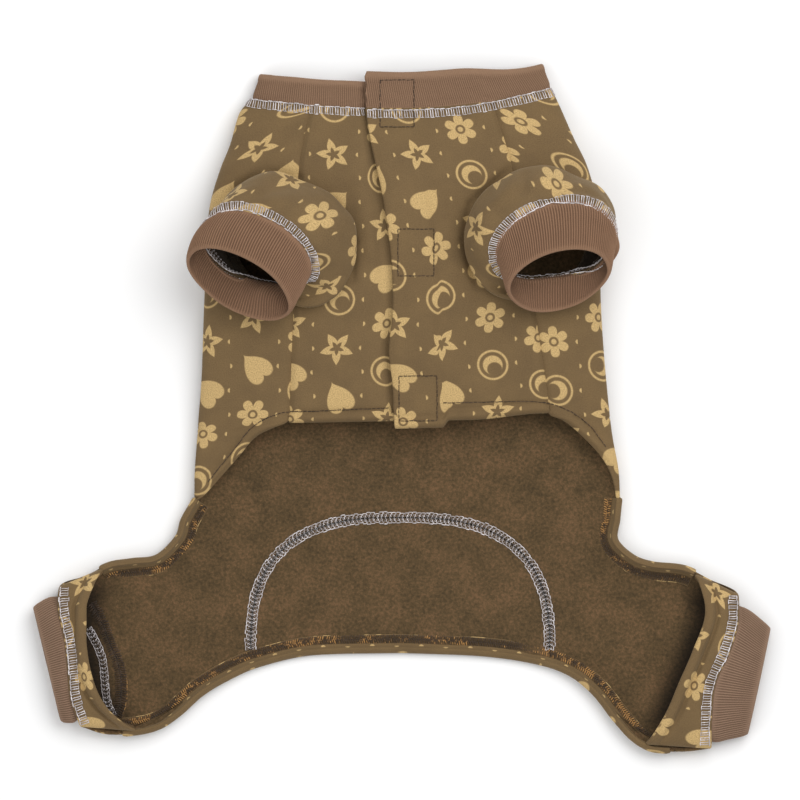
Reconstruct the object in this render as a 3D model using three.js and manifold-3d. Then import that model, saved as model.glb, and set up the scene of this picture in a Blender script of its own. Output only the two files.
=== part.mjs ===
// Dog jumpsuit of printed fleece, lying on its back with the belly up. Millimetres, +Z up.
// The origin is the middle of its footprint on the surface, and the neck points along +Y.
import * as THREE from "three";
import { mergeVertices } from "three/addons/utils/BufferGeometryUtils.js";
import Module from "manifold-3d";

const wasm = await Module();
wasm.setup();

// Body sizes
const CHEST_HALF_WIDTH = 114; // middle line to the side fold, garment flattened
const CHEST_HEIGHT = 34; // the hollow body as it lies
const BACK_LENGTH = 301; // neck seam to tail edge
const NECK_SEAM_Y = 168.1;
const NECK_LEFT_RISE = 2; // neck seam against its level, at the left side
const NECK_RIGHT_RISE = 8;
const NECK_MIDDLE_DIP = 3;
const NECK_BEND_FADE = 60; // the rows below the neck are straight after this length
const WALL = 2; // printed fleece
const SEAM_GAP = 0.4; // between two cloth edges that are sewn together
const EDGE_ROLL = 1.35; // width of the rolled-up edge against its height

// Flap and fasteners
const LAP = 21; // width of the double part under the flap
const LAP_RAMP = 8; // the cloth steps up or down over this width
const FLAP_RAISE = 1;
const HOOK_THICKNESS = 1.2;
const HOOK_WIDTH = 17;
const HOOK_LENGTH = 21;
const HOOK_INSET = 2; // from the flap edge
const LAYER_CLEARANCE = 0.3; // between cloth layers that lie on each other
const HOOK_PLACES = [
  { name: "hook_patch_upper", down: 0.024 },
  { name: "hook_patch_middle", down: 0.27 },
  { name: "hook_patch_lower", down: 0.522 },
];

// Collar
const COLLAR_LENGTH = 13.5;
const COLLAR_WALL = 2;
const COLLAR_TAPER = 0.06; // share of the width lost from seam to rim
const COLLAR_RIM_HEIGHT = 15;

// Front sleeves
const SLEEVE_HALF_WIDTH = 38;
const SLEEVE_HALF_DEPTH = 31;
const SLEEVE_TOP = 53; // middle of the mouth above the surface
const SLEEVE_REACH = 36; // armhole middle to mouth middle, seen from above
const SLEEVE_WALL = 2;
const CUFF_WALL = 1.8;
const ARMHOLE_CLEARANCE = 0.4;
const ARMHOLE_CUT_DEPTH = 7; // how far below the cloth the cut reaches

// Hind legs
const LEG_LIFT = 9; // half the height of the hind-leg tube
const LEG_HEIGHT = 19;
const LEG_ROLL_RISE = 1.6; // the rolled body-side edge stands this much higher
const LEG_FOLD_GAP = 1; // between the upper and lower half at the folds
const LEG_FLATNESS = 0.8; // 1 is an ellipse, less is flatter on top
const HIND_CUFF_HEIGHT = 15;
const HIND_CUFF_GAP = 0.8;
const HIND_CUFF_INSET = 0.02; // share of the cuff seam left free at each fold
const TAIL_LIFT = 4;
const TAIL_LIFT_FROM = 0.35; // shares of the tail edge's half length: its lift grows to the leg's here
const TAIL_LIFT_TO = 0.75;

// Turned-in hems
const HEM_WIDTH = 5.2;
const HEM_THICKNESS = 1.5;
const HEM_CLEARANCE = 1.2; // over the faceted inside of the panel
const HEM_SETBACK = 0.6; // from the panel's own edge
const SIDE_HEM_LAST_ROW = 5.1; // of the lower rows below, where the hind-leg front begins
const TAIL_HEM_END = 0.73; // of the tail edge's half length, where it meets the hind-leg front

// Rump panel, joined along a U-shaped seam
const RUMP_HALF_WIDTH = 82;
const RUMP_LENGTH = 73;
const RUMP_CENTRE_X = -1;
const RUMP_CUT_HEIGHT = 4 * CHEST_HEIGHT; // the cut goes right through

// Side outline and height: shares of the back length, the chest half width and the chest height.
const BODY_SECTIONS = [
  { down: 0, left: 0.729, right: 0.719, height: 0.56 },
  { down: 0.022, left: 0.782, right: 0.753, height: 0.62 },
  { down: 0.08, left: 0.83, right: 0.83, height: 0.78 },
  { down: 0.124, left: 0.878, right: 0.893, height: 0.9 },
  { down: 0.185, left: 0.926, right: 0.941, height: 0.97 },
  { down: 0.249, left: 0.941, right: 0.955, height: 1 },
  { down: 0.367, left: 0.955, right: 0.96, height: 0.96 },
  { down: 0.46, left: 0.963, right: 0.975, height: 0.82 },
  { down: 0.519, left: 0.97, right: 0.989, height: 0.7 },
  { down: 0.578, left: 0.983, right: 1.005, height: 0.58 },
  { down: 0.614, left: 0.989, right: 1.018, height: 0.55 },
  { down: 0.671, left: 1, right: 1.045, height: 0.53 },
  { down: 0.724, left: 1.003, right: 1.052, height: 0.53 },
];

// Seams between the belly panels and the back panel: shares as above.
const PRINCESS_SEAMS = [
  { down: 0, left: 0.439, right: 0.434 },
  { down: 0.102, left: 0.492, right: 0.521 },
  { down: 0.203, left: 0.511, right: 0.579 },
  { down: 0.4, left: 0.526, right: 0.651 },
  { down: 0.534, left: 0.54, right: 0.704 },
  { down: 0.583, left: 0.545, right: 0.709 },
];

// Rim of the belly opening where the back panel wraps over the sides.
const LEFT_RIM = [
  { down: 0.583, side: 0.545 },
  { down: 0.59, side: 0.6 },
  { down: 0.609, side: 0.704 },
  { down: 0.642, side: 0.782 },
  { down: 0.671, side: 0.85 },
  { down: 0.706, side: 0.935 },
  { down: 0.724, side: 0.985 },
];
const RIGHT_RIM = [
  { down: 0.57, side: 0.709 },
  { down: 0.58, side: 0.78 },
  { down: 0.611, side: 0.878 },
  { down: 0.653, side: 0.98 },
  { down: 0.687, side: 1.025 },
  { down: 0.724, side: 1.045 },
];

// Hem of the two belly panels and the free edge of the flap.
const BELLY_HEM = [
  { across: -0.545, down: 0.583 },
  { across: -0.4, down: 0.583 },
  { across: -0.03, down: 0.579 },
  { across: 0.17, down: 0.577 },
  { across: 0.4, down: 0.566 },
  { across: 0.709, down: 0.57 },
];
const FLAP_EDGE = [
  { down: 0, across: -0.169 },
  { down: 0.07, across: -0.14 },
  { down: 0.185, across: -0.082 },
  { down: 0.293, across: -0.043 },
  { down: 0.382, across: -0.039 },
  { down: 0.452, across: -0.058 },
  { down: 0.519, across: -0.039 },
  { down: 0.583, across: -0.029 },
];

// Rows of the lower body: its left end, middle and right end, in the same shares.
// The last rows end at the cuff seams of the hind legs, and the very last one is the tail edge.
const LOWER_ROWS = [
  { leftAcross: -1.003, leftDown: 0.724, middleDown: 0.724, rightAcross: 1.052, rightDown: 0.724 },
  { leftAcross: -1.057, leftDown: 0.761, middleDown: 0.752, rightAcross: 1.042, rightDown: 0.761 },
  { leftAcross: -1.086, leftDown: 0.793, middleDown: 0.779, rightAcross: 1.032, rightDown: 0.797 },
  { leftAcross: -1.182, leftDown: 0.828, middleDown: 0.806, rightAcross: 1.114, rightDown: 0.828 },
  { leftAcross: -1.298, leftDown: 0.835, middleDown: 0.83, rightAcross: 1.211, rightDown: 0.841 },
  { leftAcross: -1.414, leftDown: 0.842, middleDown: 0.852, rightAcross: 1.365, rightDown: 0.848 },
  { leftAcross: -1.525, leftDown: 0.863, middleDown: 0.87, rightAcross: 1.486, rightDown: 0.87 },
  { leftAcross: -1.65, leftDown: 0.881, middleDown: 0.885, rightAcross: 1.621, rightDown: 0.896 },
  { leftAcross: -1.655, leftDown: 0.925, middleDown: 0.901, rightAcross: 1.621, rightDown: 0.943 },
  { leftAcross: -1.626, leftDown: 0.98, middleDown: 0.921, rightAcross: 1.58, rightDown: 1 },
  { leftAcross: -1.611, leftDown: 1.035, middleDown: 0.943, rightAcross: 1.51, rightDown: 1.06 },
  { leftAcross: -1.597, leftDown: 1.086, middleDown: 0.969, rightAcross: 1.489, rightDown: 1.125 },
  { leftAcross: -1.549, leftDown: 1.139, middleDown: 1, rightAcross: 1.486, rightDown: 1.179 },
];
const CUFF_CORNER_ROW = 7; // from this row on, the rows end at the cuff seams

// How a lower row bends from the middle (0) to its end (1): share of the end's drop.
const ROW_BEND = [
  { out: 0, left: 0, right: 0 },
  { out: 0.28, left: 0.03, right: 0.04 },
  { out: 0.455, left: 0.2, right: 0.131 },
  { out: 0.554, left: 0.39, right: 0.253 },
  { out: 0.628, left: 0.585, right: 0.45 },
  { out: 0.69, left: 0.82, right: 0.7 },
  { out: 0.752, left: 1, right: 0.91 },
  { out: 0.82, left: 1.08, right: 1.02 },
  { out: 0.92, left: 1.1, right: 1.03 },
  { out: 1, left: 1, right: 1 },
];

// Sleeve rings, from just above the armhole to the cuff seam and on to the mouth. forward and
// side are shares of the reach, rise of the mouth's height; lean is the ring's tilt in degrees.
const LEFT_SLEEVE_RINGS = [
  { side: 0, forward: 0, rise: 0.77, wide: 1, deep: 1.02, lean: 80 },
  { side: -0.06, forward: 0.07, rise: 0.87, wide: 1, deep: 1, lean: 68 },
  { side: -0.15, forward: 0.17, rise: 0.925, wide: 0.95, deep: 0.92, lean: 58 },
  { side: -0.32, forward: 0.39, rise: 0.945, wide: 0.88, deep: 0.79, lean: 50 },
  { side: -0.33, forward: 0.7, rise: 0.975, wide: 0.85, deep: 0.74, lean: 45 },
  { side: -0.3, forward: 0.94, rise: 1, wide: 0.84, deep: 0.7, lean: 42 },
];
const RIGHT_SLEEVE_RINGS = [
  { side: 0.1, forward: -0.05, rise: 0.77, wide: 1.07, deep: 1.13, lean: 80 },
  { side: 0.14, forward: -0.01, rise: 0.87, wide: 1.05, deep: 1.08, lean: 68 },
  { side: 0.2, forward: 0.06, rise: 0.925, wide: 1, deep: 0.95, lean: 60 },
  { side: 0.32, forward: 0.17, rise: 0.965, wide: 0.9, deep: 0.92, lean: 52 },
  { side: 0.28, forward: 0.4, rise: 0.975, wide: 0.82, deep: 0.77, lean: 48 },
  { side: 0.2, forward: 0.69, rise: 1, wide: 0.77, deep: 0.71, lean: 46 },
];
const CUFF_SEAM_RING = 3; // the ring where the sleeve ends and the cuff starts
const ARMHOLE_WIDE = 0.82; // armhole against the sleeve's half width and half depth
const ARMHOLE_DEEP = 0.96;

// Middle of each armhole in the same shares, and the way the sleeve points, in degrees
const SLEEVES = {
  left: { across: -0.553, down: 0.25, facing: 240, rings: LEFT_SLEEVE_RINGS },
  right: { across: 0.632, down: 0.25, facing: 287, rings: RIGHT_SLEEVE_RINGS },
};

// Body-side edge of the hind-leg fronts: shares of the way across the leg and of the half width.
const LEFT_LEG_EDGE = [
  { over: 0, across: -1.46, down: 0.852 },
  { over: 0.2, across: -1.53, down: 0.92 },
  { over: 0.45, across: -1.53, down: 0.985 },
  { over: 0.68, across: -1.5, down: 1.05 },
  { over: 0.86, across: -1.43, down: 1.103 },
  { over: 1, across: -1.3, down: 1.147 },
];
const RIGHT_LEG_EDGE = [
  { over: 0, across: 1.43, down: 0.862 },
  { over: 0.2, across: 1.47, down: 0.93 },
  { over: 0.45, across: 1.41, down: 1 },
  { over: 0.68, across: 1.34, down: 1.062 },
  { over: 0.86, across: 1.28, down: 1.115 },
  { over: 1, across: 1.19, down: 1.172 },
];

// Outer end of the hind cuffs: front and rear corner, in the same shares.
const HIND_CUFF_ENDS = {
  left: { front: { across: -1.775, down: 0.92 }, rear: { across: -1.64, down: 1.13 } },
  right: { front: { across: 1.775, down: 0.958 }, rear: { across: 1.665, down: 1.152 } },
};

// Facets
const HALF_COLUMNS = 15; // back panel, edge to middle
const EDGE_CROWDING = 1.7; // columns of the lower body are closer at its edges
const UPPER_ROWS = 14;
const LOWER_ROW_STEPS = 2; // rows for each line of the table
const LAST_ROW_STEP = 0.22; // a close row shapes the tail edge
const BELLY_COLUMNS = 10;
const BELLY_ROWS = 14;
const COLLAR_COLUMNS = 52;
const RING_SIDES = 24;
const HEM_STEPS = 14;
const HEM_COLUMNS = 3;
const LEG_COLUMNS = 14;
const LEG_BANDS = 4;
const HIND_CUFF_BANDS = 3;
const HOOK_CELLS = 4;
const RUMP_ARC_STEPS = 16;
const EDGE_SAMPLES = 60;

const FLEECE_PRINT = new THREE.MeshStandardMaterial({ color: 0x756142, roughness: 0.92, metalness: 0 });
const RIB_KNIT = new THREE.MeshStandardMaterial({ color: 0x7f634d, roughness: 0.95, metalness: 0 });
const HOOK_TAPE = new THREE.MeshStandardMaterial({ color: 0x4a3c2c, roughness: 0.8, metalness: 0 });

// Smooth curve through a short table: reads one column at a place of another.
function read(table, key, column, at) {
  const last = table.length - 1;
  const slope = (i) => {
    const low = table[Math.max(i - 1, 0)];
    const high = table[Math.min(i + 1, last)];
    return (high[column] - low[column]) / (high[key] - low[key]);
  };
  let i = 0;
  while (i < last - 1 && at > table[i + 1][key]) i += 1;
  const a = table[i];
  const b = table[i + 1];
  const span = b[key] - a[key];
  const t = THREE.MathUtils.clamp((at - a[key]) / span, 0, 1);
  const steep = (b[column] - a[column]) / span;
  const limit = 3 * Math.abs(steep);
  const startSlope = THREE.MathUtils.clamp(slope(i), -limit, limit);
  const endSlope = THREE.MathUtils.clamp(slope(i + 1), -limit, limit);
  const t2 = t * t;
  const t3 = t2 * t;
  return (
    (2 * t3 - 3 * t2 + 1) * a[column] +
    (t3 - 2 * t2 + t) * span * startSlope +
    (3 * t2 - 2 * t3) * b[column] +
    (t3 - t2) * span * endSlope
  );
}

const acrossToX = (share) => share * CHEST_HALF_WIDTH;
const downToY = (share) => NECK_SEAM_Y - share * BACK_LENGTH;
const yToDown = (y) => (NECK_SEAM_Y - y) / BACK_LENGTH;
const LOWER_START = LOWER_ROWS[0].leftDown;
const TAIL_ROW = LOWER_ROWS.length - 1;

// Where the body is, at a height along Y
function sectionAt(y) {
  const down = THREE.MathUtils.clamp(yToDown(y), 0, LOWER_START);
  return {
    left: -acrossToX(read(BODY_SECTIONS, "down", "left", down)),
    right: acrossToX(read(BODY_SECTIONS, "down", "right", down)),
    height: CHEST_HEIGHT * read(BODY_SECTIONS, "down", "height", down),
  };
}

// Upper skin of the body: a flattened tube, highest in the middle
function upperZ(x, y) {
  const { left, right, height } = sectionAt(y);
  const share = Math.min(Math.abs((2 * x - left - right) / (right - left)), 1);
  return (height / 2) * (1 + Math.sqrt(1 - share ** 3));
}

// The neck seam isn't level: it dips in the middle and rises to the sides.
function neckBend(x, y) {
  const { left, right } = sectionAt(y);
  const share = (2 * x - left - right) / (right - left);
  const fade = Math.max(0, 1 - (NECK_SEAM_Y - y) / NECK_BEND_FADE);
  const rise = share < 0 ? NECK_LEFT_RISE : NECK_RIGHT_RISE;
  return fade * (share * share * (rise + NECK_MIDDLE_DIP) - NECK_MIDDLE_DIP);
}

// Outline of the whole footprint, with how far each edge stands off the surface
function lowerRow(index) {
  const i = Math.min(Math.floor(index), TAIL_ROW - 1);
  const t = index - i;
  const row = {};
  for (const column of Object.keys(LOWER_ROWS[0])) {
    row[column] = THREE.MathUtils.lerp(LOWER_ROWS[i][column], LOWER_ROWS[i + 1][column], t);
  }
  return row;
}

function lowerRowPoint(row, side, out) {
  const end = side === "left" ? row.leftAcross : row.rightAcross;
  const drop = (side === "left" ? row.leftDown : row.rightDown) - row.middleDown;
  const bend = read(ROW_BEND, "out", side, out);
  return new THREE.Vector2(acrossToX(end * out), downToY(row.middleDown + drop * bend));
}

function makeOutline() {
  const points = [];
  const waistLift = sectionAt(downToY(LOWER_START)).height / 2;
  for (const side of ["left", "right"]) {
    for (let i = 0; i <= EDGE_SAMPLES; i += 1) {
      const y = downToY((LOWER_START * i) / EDGE_SAMPLES);
      const section = sectionAt(y);
      points.push({ at: new THREE.Vector2(section[side], y), lift: section.height / 2 });
    }
    for (let i = 0; i <= EDGE_SAMPLES; i += 1) {
      const index = (CUFF_CORNER_ROW * i) / EDGE_SAMPLES;
      const lift = THREE.MathUtils.lerp(waistLift, LEG_LIFT, i / EDGE_SAMPLES);
      points.push({ at: lowerRowPoint(lowerRow(index), side, 1), lift });
    }
    for (let i = 0; i <= EDGE_SAMPLES; i += 1) {
      const out = i / EDGE_SAMPLES;
      const share = THREE.MathUtils.smoothstep(out, TAIL_LIFT_FROM, TAIL_LIFT_TO);
      const lift = THREE.MathUtils.lerp(TAIL_LIFT, LEG_LIFT, share);
      points.push({ at: lowerRowPoint(lowerRow(TAIL_ROW), side, out), lift });
    }
  }
  return points;
}
const OUTLINE = makeOutline();

// Lower skin of the body: flat on the surface and rolled up along the outline
function lowerZ(x, y) {
  const here = new THREE.Vector2(x, y);
  let nearest = Infinity;
  let lift = 0;
  for (const point of OUTLINE) {
    const gap = point.at.distanceTo(here);
    if (gap < nearest) {
      nearest = gap;
      lift = point.lift;
    }
  }
  const share = THREE.MathUtils.clamp(1 - nearest / (EDGE_ROLL * lift), 0, 1);
  return lift * (1 - Math.sqrt(1 - share * share));
}

// Points along a fine path, evenly spaced or, with a crowding over 1, closer at its start
function resample(path, count, crowding = 1) {
  const lengths = [0];
  for (let i = 1; i < path.length; i += 1) lengths.push(lengths[i - 1] + path[i].distanceTo(path[i - 1]));
  const points = [];
  let j = 0;
  for (let i = 0; i <= count; i += 1) {
    const want = lengths[path.length - 1] * (i / count) ** crowding;
    while (j < path.length - 2 && lengths[j + 1] < want) j += 1;
    const t = (want - lengths[j]) / Math.max(lengths[j + 1] - lengths[j], 1e-9);
    points.push(path[j].clone().lerp(path[j + 1], THREE.MathUtils.clamp(t, 0, 1)));
  }
  return points;
}

// Wall of even thickness on a grid of points, grid[row][column]. It starts at an offset from the
// points and grows to the side where rows and columns turn clockwise, or to the other with flip.
function clothWall(grid, thickness, { isTube = false, flip = false, offset = 0 } = {}) {
  const rows = grid.length;
  const columns = grid[0].length;
  const column = (c) => (isTube ? (c + columns) % columns : THREE.MathUtils.clamp(c, 0, columns - 1));
  const shell = (distance) =>
    grid.map((row, r) =>
      row.map((point, c) => {
        const along = grid[Math.min(r + 1, rows - 1)][c].clone().sub(grid[Math.max(r - 1, 0)][c]);
        const across = row[column(c + 1)].clone().sub(row[column(c - 1)]);
        const normal = across.cross(along).normalize().multiplyScalar(flip ? 1 : -1);
        return point.clone().addScaledVector(normal, distance);
      }),
    );
  return wallBetween(shell(offset), shell(offset + thickness), isTube);
}

// Closed wall between two grids of the same size
function wallBetween(outer, inner, isTube = false) {
  const rows = outer.length;
  const columns = outer[0].length;
  const positions = [...outer, ...inner].flat().flatMap((point) => point.toArray());
  const skin = rows * columns;
  const indices = [];
  const quad = (a, b, c, d) => indices.push(a, b, c, a, c, d);
  const next = (c) => (c + 1) % columns;
  const lastColumn = isTube ? columns : columns - 1;
  for (let r = 0; r < rows - 1; r += 1) {
    for (let c = 0; c < lastColumn; c += 1) {
      const a = r * columns + c;
      const b = r * columns + next(c);
      quad(a, b, b + columns, a + columns);
      quad(skin + a, skin + a + columns, skin + b + columns, skin + b);
    }
  }
  const top = (rows - 1) * columns;
  for (let c = 0; c < lastColumn; c += 1) {
    quad(next(c), c, skin + c, skin + next(c));
    quad(top + c, top + next(c), skin + top + next(c), skin + top + c);
  }
  for (let r = 0; r < rows - 1 && !isTube; r += 1) {
    const left = r * columns;
    const right = left + columns - 1;
    quad(left, left + columns, skin + left + columns, skin + left);
    quad(right + columns, right, skin + right, skin + right + columns);
  }
  return closedGeometry(positions, indices);
}

// Turns the faces outwards where the grid ran the other way round
function closedGeometry(positions, indices) {
  const corner = (i) => new THREE.Vector3().fromArray(positions, indices[i] * 3);
  let volume = 0;
  for (let i = 0; i < indices.length; i += 3) {
    volume += corner(i).dot(corner(i + 1).cross(corner(i + 2)));
  }
  if (volume < 0) indices.reverse();
  const geometry = new THREE.BufferGeometry();
  geometry.setAttribute("position", new THREE.Float32BufferAttribute(positions, 3));
  geometry.setIndex(indices);
  return geometry;
}

// Solids for cutting
function toSolid(geometry) {
  const bare = geometry.clone();
  bare.deleteAttribute("normal");
  bare.deleteAttribute("uv");
  const merged = mergeVertices(bare);
  const mesh = new wasm.Mesh({
    numProp: 3,
    vertProperties: new Float32Array(merged.attributes.position.array),
    triVerts: new Uint32Array(merged.index.array),
  });
  return new wasm.Manifold(mesh);
}

function toGeometry(solid) {
  const mesh = solid.getMesh();
  const geometry = new THREE.BufferGeometry();
  geometry.setAttribute("position", new THREE.BufferAttribute(mesh.vertProperties, 3));
  geometry.setIndex(new THREE.BufferAttribute(mesh.triVerts, 1));
  return geometry;
}

// A ring of a sleeve, tilted so that the mouth faces out and up
function sleeveRing(sleeve, ring, grow = 0, shift = 0) {
  const facing = THREE.MathUtils.degToRad(sleeve.facing);
  const lean = THREE.MathUtils.degToRad(ring.lean);
  const forward = new THREE.Vector3(Math.cos(facing), Math.sin(facing), 0);
  const side = new THREE.Vector3(-forward.y, forward.x, 0);
  const up = forward.clone().multiplyScalar(-Math.sin(lean));
  up.z = Math.cos(lean);
  const outward = forward.clone().multiplyScalar(Math.cos(lean));
  outward.z = Math.sin(lean);
  const middle = new THREE.Vector3(acrossToX(sleeve.across), downToY(sleeve.down), ring.rise * SLEEVE_TOP)
    .addScaledVector(forward, ring.forward * SLEEVE_REACH)
    .addScaledVector(side, ring.side * SLEEVE_REACH)
    .addScaledVector(outward, shift);
  const points = [];
  for (let i = 0; i < RING_SIDES; i += 1) {
    const angle = (2 * Math.PI * i) / RING_SIDES;
    points.push(
      middle
        .clone()
        .addScaledVector(side, Math.cos(angle) * (ring.wide * SLEEVE_HALF_WIDTH + grow))
        .addScaledVector(up, Math.sin(angle) * (ring.deep * SLEEVE_HALF_DEPTH + grow)),
    );
  }
  return points;
}

// The armhole follows the body's upper skin, at a depth below it.
function armholeRing(sleeve, depth, grow = 0) {
  const flat = { side: 0, forward: 0, rise: 0, wide: ARMHOLE_WIDE, deep: ARMHOLE_DEEP, lean: 90 };
  const points = sleeveRing(sleeve, flat, grow);
  for (const point of points) point.z = upperZ(point.x, point.y) - depth;
  return points;
}

function armholePlug(sleeve) {
  const low = armholeRing(sleeve, ARMHOLE_CUT_DEPTH, ARMHOLE_CLEARANCE);
  const high = armholeRing(sleeve, -ARMHOLE_CUT_DEPTH, ARMHOLE_CLEARANCE);
  const positions = [];
  for (const point of [...low, ...high]) positions.push(...point.toArray());
  const x = acrossToX(sleeve.across);
  const y = downToY(sleeve.down);
  for (const depth of [ARMHOLE_CUT_DEPTH, -ARMHOLE_CUT_DEPTH]) positions.push(x, y, upperZ(x, y) - depth);
  const indices = [];
  const lowMiddle = 2 * RING_SIDES;
  for (let i = 0; i < RING_SIDES; i += 1) {
    const next = (i + 1) % RING_SIDES;
    indices.push(i, next, RING_SIDES + next, i, RING_SIDES + next, RING_SIDES + i);
    indices.push(lowMiddle, next, i);
    indices.push(lowMiddle + 1, RING_SIDES + i, RING_SIDES + next);
  }
  return toSolid(closedGeometry(positions, indices));
}

function frontSleeve(sleeve) {
  const shell = (grow) => [
    armholeRing(sleeve, SLEEVE_WALL, grow),
    armholeRing(sleeve, -LAYER_CLEARANCE, grow),
    ...sleeve.rings.slice(0, CUFF_SEAM_RING + 1).map((ring) => sleeveRing(sleeve, ring, grow)),
  ];
  return wallBetween(shell(0), shell(-SLEEVE_WALL), true);
}

function frontCuff(sleeve) {
  const [seam, ...others] = sleeve.rings.slice(CUFF_SEAM_RING);
  const shell = (grow) => [
    sleeveRing(sleeve, seam, grow, SEAM_GAP),
    ...others.map((ring) => sleeveRing(sleeve, ring, grow)),
  ];
  return wallBetween(shell(0), shell(-CUFF_WALL), true);
}

// Back panel: from the left seam or rim round the side, under the body and up the other side
function upperBackHalf(y, side) {
  const down = yToDown(y);
  const section = sectionAt(y);
  const sign = side === "left" ? -1 : 1;
  const rim = side === "left" ? LEFT_RIM : RIGHT_RIM;
  const isSeam = down < rim[0].down;
  const share = isSeam ? read(PRINCESS_SEAMS, "down", side, down) : read(rim, "down", "side", down);
  const edgeX = sign * (acrossToX(share) + SEAM_GAP / 2);
  const foldX = section[side];
  const path = [];
  for (let i = 0; i <= EDGE_SAMPLES; i += 1) {
    const t = 1 - i / EDGE_SAMPLES;
    const x = foldX + (edgeX - foldX) * t * t;
    path.push(new THREE.Vector3(x, y + neckBend(x, y), upperZ(x, y)));
  }
  for (let i = 1; i <= EDGE_SAMPLES; i += 1) {
    const t = i / EDGE_SAMPLES;
    const x = foldX * (1 - t * t);
    path.push(new THREE.Vector3(x, y + neckBend(x, y), lowerZ(x, y)));
  }
  const nearLower = THREE.MathUtils.smoothstep(down, rim[0].down, LOWER_START);
  return resample(path, HALF_COLUMNS, THREE.MathUtils.lerp(1, EDGE_CROWDING, nearLower));
}

function lowerBackHalf(row, side) {
  const path = [];
  for (let i = 0; i <= 2 * EDGE_SAMPLES; i += 1) {
    const t = i / (2 * EDGE_SAMPLES);
    const at = lowerRowPoint(row, side, 1 - t * t);
    path.push(new THREE.Vector3(at.x, at.y, lowerZ(at.x, at.y)));
  }
  return resample(path, HALF_COLUMNS, EDGE_CROWDING);
}

const joinHalves = (left, right) => [...left, ...right.slice(0, -1).reverse()];

function backGrid() {
  const grid = [];
  for (let i = 0; i < UPPER_ROWS; i += 1) {
    const y = downToY((LOWER_START * i) / UPPER_ROWS) - SEAM_GAP / 2;
    grid.push(joinHalves(upperBackHalf(y, "left"), upperBackHalf(y, "right")));
  }
  const places = [];
  for (let i = 0; i <= TAIL_ROW * LOWER_ROW_STEPS; i += 1) places.push(i / LOWER_ROW_STEPS);
  places.splice(-1, 0, TAIL_ROW - LAST_ROW_STEP);
  for (const row of places.map(lowerRow)) {
    grid.push(joinHalves(lowerBackHalf(row, "left"), lowerBackHalf(row, "right")));
  }
  return grid;
}

// The rump panel is what lies inside a half ellipse that opens at the tail.
function rumpTool(grow) {
  const middleY = downToY(1);
  const outline = new THREE.Shape();
  const halfWidth = RUMP_HALF_WIDTH + grow;
  outline.moveTo(RUMP_CENTRE_X + halfWidth, middleY - RUMP_LENGTH);
  outline.lineTo(RUMP_CENTRE_X + halfWidth, middleY);
  outline.absellipse(RUMP_CENTRE_X, middleY, halfWidth, RUMP_LENGTH + grow, 0, Math.PI);
  outline.lineTo(RUMP_CENTRE_X - halfWidth, middleY - RUMP_LENGTH);
  outline.closePath();
  const block = new THREE.ExtrudeGeometry(outline, {
    depth: RUMP_CUT_HEIGHT,
    bevelEnabled: false,
    curveSegments: RUMP_ARC_STEPS,
  });
  block.translate(0, 0, -RUMP_CUT_HEIGHT / 2);
  return toSolid(block);
}

// Belly panels
const flapEdgeX = (y) => acrossToX(read(FLAP_EDGE, "down", "across", yToDown(y)));
const stackHeight = WALL + HOOK_THICKNESS + 2 * LAYER_CLEARANCE;

function underLapZ(x, y) {
  const step = THREE.MathUtils.smoothstep(x, flapEdgeX(y) - LAP_RAMP, flapEdgeX(y) - 1);
  return upperZ(x, y) - step * (stackHeight - FLAP_RAISE);
}

function flapZ(x, y) {
  const lapEnd = flapEdgeX(y) + LAP;
  return upperZ(x, y) + FLAP_RAISE * (1 - THREE.MathUtils.smoothstep(x, lapEnd, lapEnd + LAP_RAMP));
}

function bellyPanel(leftX, rightX, heightAt) {
  const grid = [];
  for (let r = 0; r <= BELLY_ROWS; r += 1) {
    const row = [];
    for (let c = 0; c <= BELLY_COLUMNS; c += 1) {
      const startY = NECK_SEAM_Y - SEAM_GAP / 2;
      const guess = THREE.MathUtils.lerp(leftX(startY), rightX(startY), c / BELLY_COLUMNS);
      const hemDown = read(BELLY_HEM, "across", "down", guess / CHEST_HALF_WIDTH);
      const y = THREE.MathUtils.lerp(startY, downToY(hemDown), r / BELLY_ROWS);
      const x = THREE.MathUtils.lerp(leftX(y), rightX(y), c / BELLY_COLUMNS);
      row.push(new THREE.Vector3(x, y + neckBend(x, y), heightAt(x, y)));
    }
    grid.push(row);
  }
  return clothWall(grid, WALL, { flip: true });
}

const leftSeamX = (y) => -acrossToX(read(PRINCESS_SEAMS, "down", "left", yToDown(y))) + SEAM_GAP / 2;
const rightSeamX = (y) => acrossToX(read(PRINCESS_SEAMS, "down", "right", yToDown(y))) - SEAM_GAP / 2;

function hookPatch(down) {
  const top = downToY(down);
  const grid = [];
  for (let r = 0; r <= HOOK_CELLS; r += 1) {
    const y = top - (HOOK_LENGTH * r) / HOOK_CELLS;
    const row = [];
    for (let c = 0; c <= HOOK_CELLS; c += 1) {
      const x = flapEdgeX(y) + HOOK_INSET + (HOOK_WIDTH * c) / HOOK_CELLS;
      const z = underLapZ(x, y) + LAYER_CLEARANCE + HOOK_THICKNESS;
      row.push(new THREE.Vector3(x, y + neckBend(x, y), z));
    }
    grid.push(row);
  }
  return clothWall(grid, HOOK_THICKNESS, { flip: true });
}

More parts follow.
